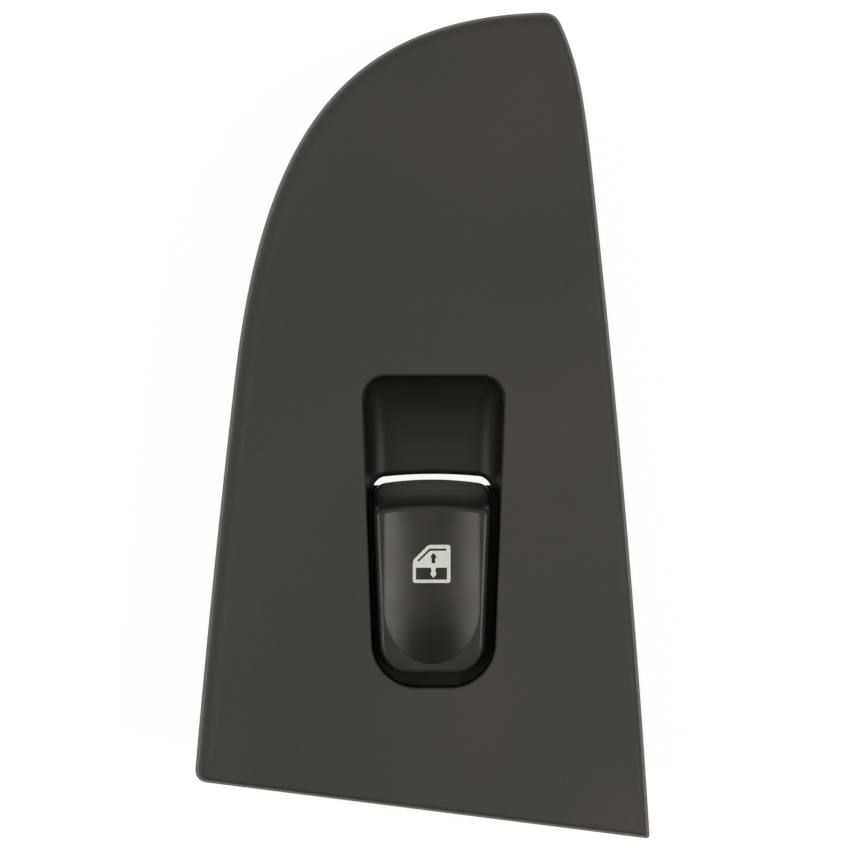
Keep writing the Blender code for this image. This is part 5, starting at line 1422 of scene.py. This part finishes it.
    def build(self, paint: Material, painted_shade: Material, recess: TaperedOutline) -> Object:
        """Builds the rocker.

        Args:
            paint: Its satin paint.
            painted_shade: The paint in the thumb dish, with painted shade towards its rounded end.
            recess: The recess that it sits in.

        Returns:
            The finished piece.
        """
        outline = self.outline(recess)
        rocker = carved(self.blank(outline), self.hollow(outline), "DIFFERENCE")
        ceiling = self.top_z(self.pivot[0]) - self.top_wall + self.embed
        (barrel_radius, barrel_foot), (bore_radius, *bore_ends) = self.barrel, self.bore
        (pivot_y, pivot_z), (eye_radius, eye_start) = self.pivot, self.eye
        turns = [2 * math.pi * i / 48 for i in range(48)]
        eye = [(pivot_y + eye_radius * math.cos(t), pivot_z + eye_radius * math.sin(t)) for t in turns]
        for side in Side:
            centre = (MODULE_X + side.value * BARREL_X, self.pivot[0])
            turned = (("barrel", barrel_radius, (barrel_foot, ceiling)), ("bore", bore_radius, bore_ends))
            for (name, radius, (low, high)), operation in zip(turned, ("UNION", "DIFFERENCE")):
                profile = [(0.0, low), (radius, low), (radius, high), (0.0, high)]
                carved(rocker, Draft().turned(profile, centre).make(name), operation)
            ends = [MODULE_X + side.value * reach for reach in (eye_start, outline.front_half + self.embed)]
            carved(rocker, Draft().extruded(eye, *ends, "X").make("eye"), "DIFFERENCE")
        shade(rocker.data, self.sharp_degrees)
        # Upward faces in the dish take the dish paint, whose painted shade darkens them towards the dish's
        # end
        rim = self.dish_depth * self.rim_share / 2
        for face in rocker.data.polygons:
            x, y, _ = face.center
            along = self.dish_turn_y - self.dish_end < y < self.lip_start_y
            upward = face.normal.z > 0.5
            face.material_index = int(along and upward and self.dish(x - MODULE_X, y) > rim)
        return settle(rocker, [paint, painted_shade], "rocker", ["rocker_knob"])


@dataclass
class WindowSign:
    """The printed sign: a door with its window, and an arrow each way.

    Attributes:
        frame_corners: Corners of the door's outer outline.
        roof: Upper and lower line of the dark gap under the roof.
        rounding: Radius of the door's corners.
        soft: Radius of the corners of the forms inside it.
        lift: Height of the ink over the paint.
        film: Thickness of the ink.
        arrow_x: The arrows' centre line.
        above: Height from which the ink is dropped on the paint.
    """

    frame_corners: tuple[Flat, ...] = (
        (-0.00398, -0.05431), (0.00325, -0.05431), (0.00325, -0.04700), (-0.00098, -0.04700),
        (-0.00398, -0.05000),
    )
    roof: tuple[Flat, ...] = (
        (-0.00313, -0.05000), (-0.00077, -0.04773), (0.00246, -0.04773), (0.00246, -0.04813),
        (-0.00064, -0.04813), (-0.00287, -0.05027),
    )
    rounding: float = 0.00055
    soft: float = 0.00014
    lift: float = 0.00001
    film: float = 0.00003
    arrow_x: float = -0.00002
    above: float = 0.05

    def rounded(self, corners: Sequence[Flat], radius: float) -> list[Flat]:
        """A closed outline with its corners rounded.

        Args:
            corners: The corners.
            radius: Length taken off each side at a corner.

        Returns:
            The outline's points.
        """
        made: list[Flat] = []
        for k, corner in enumerate(corners):
            here = np.array(corner)
            before, after = (np.array(corners[i % len(corners)]) - here for i in (k - 1, k + 1))
            start = here + before / np.linalg.norm(before) * radius
            end = here + after / np.linalg.norm(after) * radius
            for t in (i / 6 for i in range(7)):
                made.append(tuple((1 - t) ** 2 * start + 2 * t * (1 - t) * here + t**2 * end))
        return made

    def outlines(self) -> list[list[Flat]]:
        """Every closed outline: the door, and the dark forms inside it.

        Returns:
            Lists of points.
        """
        # Half of each arrow, from its tip on, and the lower pane that the second arrow is cut from
        x = self.arrow_x
        up = [(0.0, -0.04855), (0.00062, -0.04930), (0.00034, -0.04960), (0.00037, -0.05053)]
        up_arrow = [(x + a, b) for a, b in up] + [(x - a, b) for a, b in reversed(up[1:])]
        top, low = -0.05139, -0.05367
        down = [(0.00048, top), (0.00037, -0.05212), (0.00062, -0.05262), (0.0, -0.05334)]
        left, right = -0.00339, 0.00258
        pane = [(left, top)] + [(x - a, b) for a, b in down] + [(x + a, b) for a, b in reversed(down[:-1])]
        pane += [(right, top), (right, low), (left, low)]
        inner = [self.rounded(form, self.soft) for form in (self.roof, up_arrow, pane)]
        return [self.rounded(self.frame_corners, self.rounding), *inner]

    def film_tree(self) -> NodeTree:
        """Geometry nodes that lay a film of ink, cut to outlines, on a surface.

        Returns:
            The tree.
        """
        inputs = {"Outlines": "Geometry", "Surface": "Object", "Lift": "Float", "Film": "Float"}
        inputs["Ink"] = "Material"
        tree, given = new_tree("ink_on_surface", inputs, "Sign")
        filled = add_node(tree, "GeometryNodeFillCurve", None, {"Curve": given["Outlines"]}).outputs["Mesh"]
        fine = add_node(tree, "GeometryNodeSubdivideMesh", {"Level": 4}, {"Mesh": filled}).outputs["Mesh"]
        surface = add_node(tree, "GeometryNodeObjectInfo", None, {"Object": given["Surface"]})
        place = add_node(tree, "GeometryNodeInputPosition").outputs["Position"]
        above = add_node(
            tree, "ShaderNodeVectorMath", {1: (0.0, 0.0, self.above)}, {0: place}, operation="ADD"
        ).outputs["Vector"]
        hit = add_node(
            tree,
            "GeometryNodeRaycast",
            {"Ray Direction": (0.0, 0.0, -1.0), "Ray Length": 2 * self.above},
            {"Target Geometry": surface.outputs["Geometry"], "Source Position": above},
        ).outputs["Hit Position"]
        height = add_node(tree, "ShaderNodeCombineXYZ", None, {"Z": given["Lift"]}).outputs["Vector"]
        lifted = add_node(
            tree, "ShaderNodeVectorMath", None, {0: hit, 1: height}, operation="ADD"
        ).outputs["Vector"]
        laid = add_node(
            tree, "GeometryNodeSetPosition", None, {"Geometry": fine, "Position": lifted}
        ).outputs["Geometry"]
        thick = add_node(
            tree,
            "GeometryNodeExtrudeMesh",
            {"Individual": False},
            {"Mesh": laid, "Offset Scale": given["Film"]},
        ).outputs["Mesh"]
        end_tree(tree, thick, given["Ink"], "Sign")
        return tree

    def build(self, material: Material, rocker: Object) -> Object:
        """Prints the sign on the rocker.

        Args:
            material: The ink.
            rocker: The piece that it is printed on.

        Returns:
            The finished piece.
        """
        curve = bpy.data.curves.new("sign_outlines", "CURVE")
        curve.dimensions = "2D"
        for outline in self.outlines():
            spline = curve.splines.new("POLY")
            spline.points.add(len(outline) - 1)
            for point, (x, y) in zip(spline.points, outline):
                point.co = (x, y, 0.0, 1.0)
            spline.use_cyclic_u = True
        values = {"Surface": rocker, "Lift": self.lift, "Film": self.film, "Ink": material}
        sign = grown(linked("sign_outlines", curve), self.film_tree(), values, "window_sign")
        return settle(sign, [material], "rocker")


def grown(source: Object, tree: NodeTree, values: dict[str, Any], name: str) -> Object:
    """Runs a geometry tree on an object and keeps the result as a plain mesh.

    Args:
        source: The object that the tree starts from, which is removed afterwards.
        tree: The tree.
        values: Its inputs by name.
        name: The new piece's name.

    Returns:
        The piece, with no modifier on it.
    """
    modifier = source.modifiers.new(tree.name, "NODES")
    modifier.node_group = tree
    for item in tree.interface.items_tree:
        if item.item_type == "SOCKET" and item.in_out == "INPUT" and item.name in values:
            modifier[item.identifier] = values[item.name]
    source.update_tag()
    graph = bpy.context.evaluated_depsgraph_get()
    mesh = bpy.data.meshes.new_from_object(source.evaluated_get(graph))
    mesh.name = name
    piece = linked(name, mesh)
    bpy.data.objects.remove(source)
    with edited(mesh) as work:
        bmesh.ops.remove_doubles(work, verts=work.verts, dist=SAME_POINT)
        bmesh.ops.recalc_face_normals(work, faces=work.faces)
    shade(mesh, SHARP_DEGREES)
    return piece


@dataclass(frozen=True)
class Winding:
    """Wire or a ridge that winds round an upright line, such as a coil spring or a screw thread.

    Attributes:
        coil_radius: Radius of the line that it follows.
        wire_radius: Radius of the wire or ridge.
        pitch: Rise in one turn.
        turns: Number of turns.
        start_z: Height of its lower end.
        run_out: Share of its thickness that is left at its upper end.
        facets: Facets round the wire.
        fade_start: Share of its length at which it begins to thin out.
    """

    coil_radius: float
    wire_radius: float
    pitch: float
    turns: float
    start_z: float
    run_out: float
    facets: int
    fade_start: float = 0.86

    def tree(self) -> NodeTree:
        """Geometry nodes that wind the wire at every given place.

        Returns:
            The tree.
        """
        sizes = ("Coil radius", "Wire radius", "Pitch", "Turns", "Run-out")
        inputs = {"Place": "Geometry", **dict.fromkeys(sizes, "Float"), "Facets": "Int", "Metal": "Material"}
        tree, given = new_tree("winding", inputs, "Winding")
        rise = add_node(
            tree, "ShaderNodeMath", None, {0: given["Pitch"], 1: given["Turns"]}, operation="MULTIPLY"
        ).outputs["Value"]
        coil = {"Start Radius": given["Coil radius"], "End Radius": given["Coil radius"]}
        coil |= {"Rotations": given["Turns"], "Height": rise}
        line = add_node(tree, "GeometryNodeCurveSpiral", {"Resolution": 48}, coil).outputs["Curve"]
        along = add_node(tree, "GeometryNodeSplineParameter").outputs["Factor"]
        fade = add_node(
            tree,
            "ShaderNodeMapRange",
            {"From Min": 1.0, "From Max": self.fade_start},
            {"Value": along, "To Min": given["Run-out"]},
        ).outputs["Result"]
        ring = {"Resolution": given["Facets"], "Radius": given["Wire radius"]}
        section = add_node(tree, "GeometryNodeCurvePrimitiveCircle", None, ring).outputs["Curve"]
        swept = add_node(
            tree,
            "GeometryNodeCurveToMesh",
            {"Fill Caps": True},
            {"Curve": line, "Profile Curve": section, "Scale": fade},
        ).outputs["Mesh"]
        placed = {"Points": given["Place"], "Instance": swept}
        spots = add_node(tree, "GeometryNodeInstanceOnPoints", None, placed).outputs["Instances"]
        end_tree(tree, spots, given["Metal"], "Winding")
        return tree

    def wind(self, name: str, material: Material, places: Sequence[Flat]) -> Object:
        """Winds the wire at each place.

        Args:
            name: The piece's name.
            material: Its metal.
            places: Where its middle lines stand.

        Returns:
            The piece, not yet on a body.
        """
        mesh = bpy.data.meshes.new("places")
        mesh.from_pydata([(x, y, self.start_z) for x, y in places], [], [])
        values = {"Coil radius": self.coil_radius, "Wire radius": self.wire_radius, "Pitch": self.pitch}
        values |= {"Turns": self.turns, "Run-out": self.run_out, "Facets": self.facets, "Metal": material}
        return grown(linked("places", mesh), self.tree(), values, name)


@dataclass
class PlungerSprings:
    """The two coil springs above the plungers.

    Attributes:
        coil: How each spring is wound.
        seat_z: The chamber's end, where they don't move; not used.
        travel: How far a plunger slides; not used.
    """

    coil: Winding = Winding(0.00107, 0.00018, 0.00734 / 7, 7.0, -0.00112, 1.0, 12)
    seat_z: float = 0.0064
    travel: float = 0.0008

    def build(self, material: Material) -> None:
        """Winds both springs.

        Args:
            material: Their spring steel.
        """
        for side in Side:
            which = side.name.lower()
            place = (MODULE_X + side.value * BARREL_X, PIVOT[0])
            spring = self.coil.wind(f"coil_spring_{which}", material, [place])
            settle(spring, [material], "rocker", [f"plunger_spring_{which}"])
            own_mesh(spring)


@dataclass
class SoftenedNodes:
    """Copies of the module's solids with fine rounded edges, which stand for the solids themselves.

    Attributes:
        edge: Width of the rounding.
        sharp_degrees: Edges bent by more than this are rounded.
        flat_degrees: Triangles bent by less than this are joined to one face.
        crease_degrees: Edges bent by more than this stay sharp beside the rounding.
    """

    edge: float = 0.00010
    sharp_degrees: float = 28.0
    flat_degrees: float = 0.5
    crease_degrees: float = 42.0

    def soften(self, node: str, material: Material, body: str, slot: str) -> Object:
        """Makes one rounded copy.

        Args:
            node: The solid's name.
            material: Its material.
            body: The body that it rides on.
            slot: The record's material slot; not used.

        Returns:
            The finished piece.
        """
        mesh = frame["nodes"][node].data.copy()
        piece = linked(f"{node}_finished", mesh)
        flat = math.radians(self.flat_degrees)
        with edited(mesh) as work:
            bmesh.ops.remove_doubles(work, verts=work.verts, dist=1e-6)
            bmesh.ops.dissolve_limit(
                work, angle_limit=flat, verts=work.verts, edges=work.edges, delimit={"NORMAL"}
            )
        rounding = piece.modifiers.new("rounding", "BEVEL")
        rounding.width = self.edge
        rounding.segments = 2
        rounding.limit_method = "ANGLE"
        rounding.angle_limit = math.radians(self.sharp_degrees)
        rounding.use_clamp_overlap = True
        baked(piece)
        shade(piece.data, self.crease_degrees)
        return settle(piece, [material], body, [node])


@dataclass
class Studio:
    """The pale floor, the soft lamps and the camera above the panel.

    Attributes:
        centre: The point that the camera looks at, in the rim's plane.
        pixels_per_mm: The photograph's scale.
        picture: Width of the picture in pixels.
        distance: Height of the camera.
        sensor: Width of the camera's sensor, in mm.
        floor_z: Level of the floor.
        floor_reach: How far the floor spreads to each side.
        floor_glow: Brightness of the floor where it is seen directly.
        fade_span: The room's lower and upper ends along Y, between which its light grows.
        fade_power: Strength of its light at those ends.
        lamp_place: Where the lamps hang beside the middle, with X for the right one.
        lamp_size: Their width and length.
        lamp_watts: Their power, left and right.
    """

    centre: Flat = (-0.001635, -0.024038)
    pixels_per_mm: float = 5.2
    picture: int = 850
    distance: float = 3.0
    sensor: float = 36.0
    floor_z: float = -0.0274
    floor_reach: float = 4.0
    floor_glow: float = 0.94
    fade_span: Flat = (-0.6, 0.6)
    fade_power: Flat = (0.02, 0.42)
    lamp_place: Point = (0.57, -0.13, 0.82)
    lamp_size: Flat = (0.62, 0.42)
    lamp_watts: Flat = (3.7, 4.2)

    def camera(self) -> None:
        """Creates the camera, straight above the panel, with the photograph's frame."""
        data = bpy.data.cameras.new("camera")
        width = self.picture / self.pixels_per_mm * MM
        data.sensor_width = self.sensor
        data.lens = self.sensor * self.distance / width
        data.clip_end = 20.0
        eye = linked("camera", data)
        eye.location = (*self.centre, self.distance)
        bpy.context.scene.camera = eye

    def seen_directly(self, tree: NodeTree) -> NodeSocket:
        """Adds the test for rays that come straight from the camera or by a mirror or through clear plastic.

        Args:
            tree: The tree that takes the nodes.

        Returns:
            A socket that is one for such rays.
        """
        path = add_node(tree, "ShaderNodeLightPath").outputs
        seen = path["Is Camera Ray"]
        for kind in ("Is Glossy Ray", "Is Transmission Ray"):
            either = {0: seen, 1: path[kind]}
            seen = add_node(tree, "ShaderNodeMath", None, either, operation="MAXIMUM").outputs["Value"]
        return seen

    def floor(self) -> None:
        """Lays the floor, which shows white and still takes the object's shadow."""
        material = bpy.data.materials.new("pale_floor")
        tree = bare_tree(material)
        card = add_node(tree, "ShaderNodeBsdfDiffuse", {"Color": linear("E6E6E4")}).outputs["BSDF"]
        faint = add_node(tree, "ShaderNodeBsdfDiffuse", {"Color": (0.12, 0.12, 0.12, 1.0)}).outputs["BSDF"]
        glow = add_node(tree, "ShaderNodeEmission", {"Strength": self.floor_glow}).outputs["Emission"]
        shown = add_node(tree, "ShaderNodeAddShader", None, {0: glow, 1: faint}).outputs["Shader"]
        front = add_node(
            tree, "ShaderNodeMixShader", None, {0: self.seen_directly(tree), 1: card, 2: shown}
        ).outputs["Shader"]
        clear = add_node(tree, "ShaderNodeBsdfTransparent").outputs["BSDF"]
        behind = add_node(tree, "ShaderNodeNewGeometry").outputs["Backfacing"]
        sheet = add_node(tree, "ShaderNodeMixShader", None, {0: behind, 1: front, 2: clear}).outputs["Shader"]
        add_node(tree, "ShaderNodeOutputMaterial", None, {"Surface": sheet})
        mesh = bpy.data.meshes.new("floor")
        reach = self.floor_reach
        corners = [(-reach, -reach), (reach, -reach), (reach, reach), (-reach, reach)]
        mesh.from_pydata([(x, y, self.floor_z) for x, y in corners], [], [(0, 1, 2, 3)])
        mesh.materials.append(material)
        linked("floor", mesh)

    def world(self) -> None:
        """Fills the room with pale light, which fades towards -Y so that the scoop's far wall stays dark."""
        world = bpy.data.worlds.new("studio")
        tree = bare_tree(world)
        bpy.context.scene.world = world
        way = add_node(tree, "ShaderNodeTexCoord").outputs["Generated"]
        along = add_node(tree, "ShaderNodeSeparateXYZ", None, {"Vector": way}).outputs["Y"]
        span = dict(zip(SPAN_INPUTS, (*self.fade_span, *self.fade_power)))
        power = add_node(tree, "ShaderNodeMapRange", span, {"Value": along}).outputs["Result"]
        pale, full = {"Color": linear("F6F6F2")}, {"Color": linear("FFFFFF"), "Strength": 1.0}
        dim = add_node(tree, "ShaderNodeBackground", pale, {"Strength": power}).outputs["Background"]
        white = add_node(tree, "ShaderNodeBackground", full).outputs["Background"]
        seen = add_node(tree, "ShaderNodeLightPath").outputs["Is Camera Ray"]
        mixed = add_node(tree, "ShaderNodeMixShader", None, {0: seen, 1: dim, 2: white}).outputs["Shader"]
        add_node(tree, "ShaderNodeOutputWorld", None, {"Surface": mixed})

    def lamp(self, side: Side, watts: float) -> None:
        """Hangs one soft lamp that faces the panel.

        Args:
            side: The side that it hangs at.
            watts: Its power.
        """
        x, y, z = self.lamp_place
        place = (side.value * x, y, z)
        data = bpy.data.lights.new(f"{side.name.lower()}_softbox", "AREA")
        data.shape = "RECTANGLE"
        data.size, data.size_y = self.lamp_size
        data.energy = watts
        data.color = (1.0, 0.99, 0.95)
        made = linked(data.name, data)
        made.location = place
        target = Vector((*self.centre, 0.0))
        made.rotation_euler = (target - Vector(place)).to_track_quat("-Z", "Y").to_euler()

    def build(self) -> None:
        """Sets up the whole studio."""
        bpy.context.scene.view_settings.view_transform = "Standard"
        self.camera()
        self.floor()
        self.world()
        for side, watts in zip(Side, self.lamp_watts):
            self.lamp(side, watts)


@dataclass
class WindowSwitch:
    """The whole object: panel, rocker, sign and the switch module below."""

    panel: TrimPanel = field(default_factory=TrimPanel)
    rocker: Rocker = field(default_factory=Rocker)
    sign: WindowSign = field(default_factory=WindowSign)
    springs: PlungerSprings = field(default_factory=PlungerSprings)
    thread: Winding = Winding(0.00140, 0.00028, 0.0010, 7.4, -0.0036, 0.05, 6)
    softener: SoftenedNodes = field(default_factory=SoftenedNodes)

    def module(self, materials: dict[str, Material]) -> None:
        """Dresses the switch module's solids.

        Args:
            materials: Every material by its finish's name.
        """
        record = frame["record"]
        slots = {part["node"]: part["material_slot"] for part in record["subparts"]}
        bodies = {node: body for body, nodes in record["behaviour"]["bodies"].items() for node in nodes}
        for node in sorted(frame["nodes"]):
            if node in ("trim_panel", "rocker_knob") or node.startswith("plunger_spring"):
                continue
            finish = next(finish for start, finish in NODE_FINISHES.items() if node.startswith(start))
            self.softener.soften(node, materials[finish.name], bodies[node], slots[node])

    def build(self) -> None:
        """Builds and dresses every piece in order."""
        shown = (GRAINED_ABS, SMOOTH_ABS_PAINTED_SHADE, SATIN_PAINT, SHADED_DISH_PAINT, SIGN_INK)
        wanted = {finish.name: finish for finish in (*shown, *NODE_FINISHES.values())}
        materials = {name: finish.material() for name, finish in wanted.items()}
        self.panel.build(materials[GRAINED_ABS.name], materials[SMOOTH_ABS_PAINTED_SHADE.name])
        paints = materials[SATIN_PAINT.name], materials[SHADED_DISH_PAINT.name]
        rocker = self.rocker.build(*paints, self.panel.recess.outline)
        self.sign.build(materials[SIGN_INK.name], rocker)
        self.module(materials)
        self.springs.build(materials[SPRING_STEEL.name])
        zinc = materials[ZINC_PLATE.name]
        settle(self.thread.wind("screw_threads", zinc, SCREW_PLACES), [zinc], "panel")


def main() -> None:
    """Builds the studio and the object, and notes their sizes."""
    logging.basicConfig(level=logging.INFO, format="%(name)s: %(message)s")
    Studio().build()
    WindowSwitch().build()


if __name__ == "__main__":
    main()
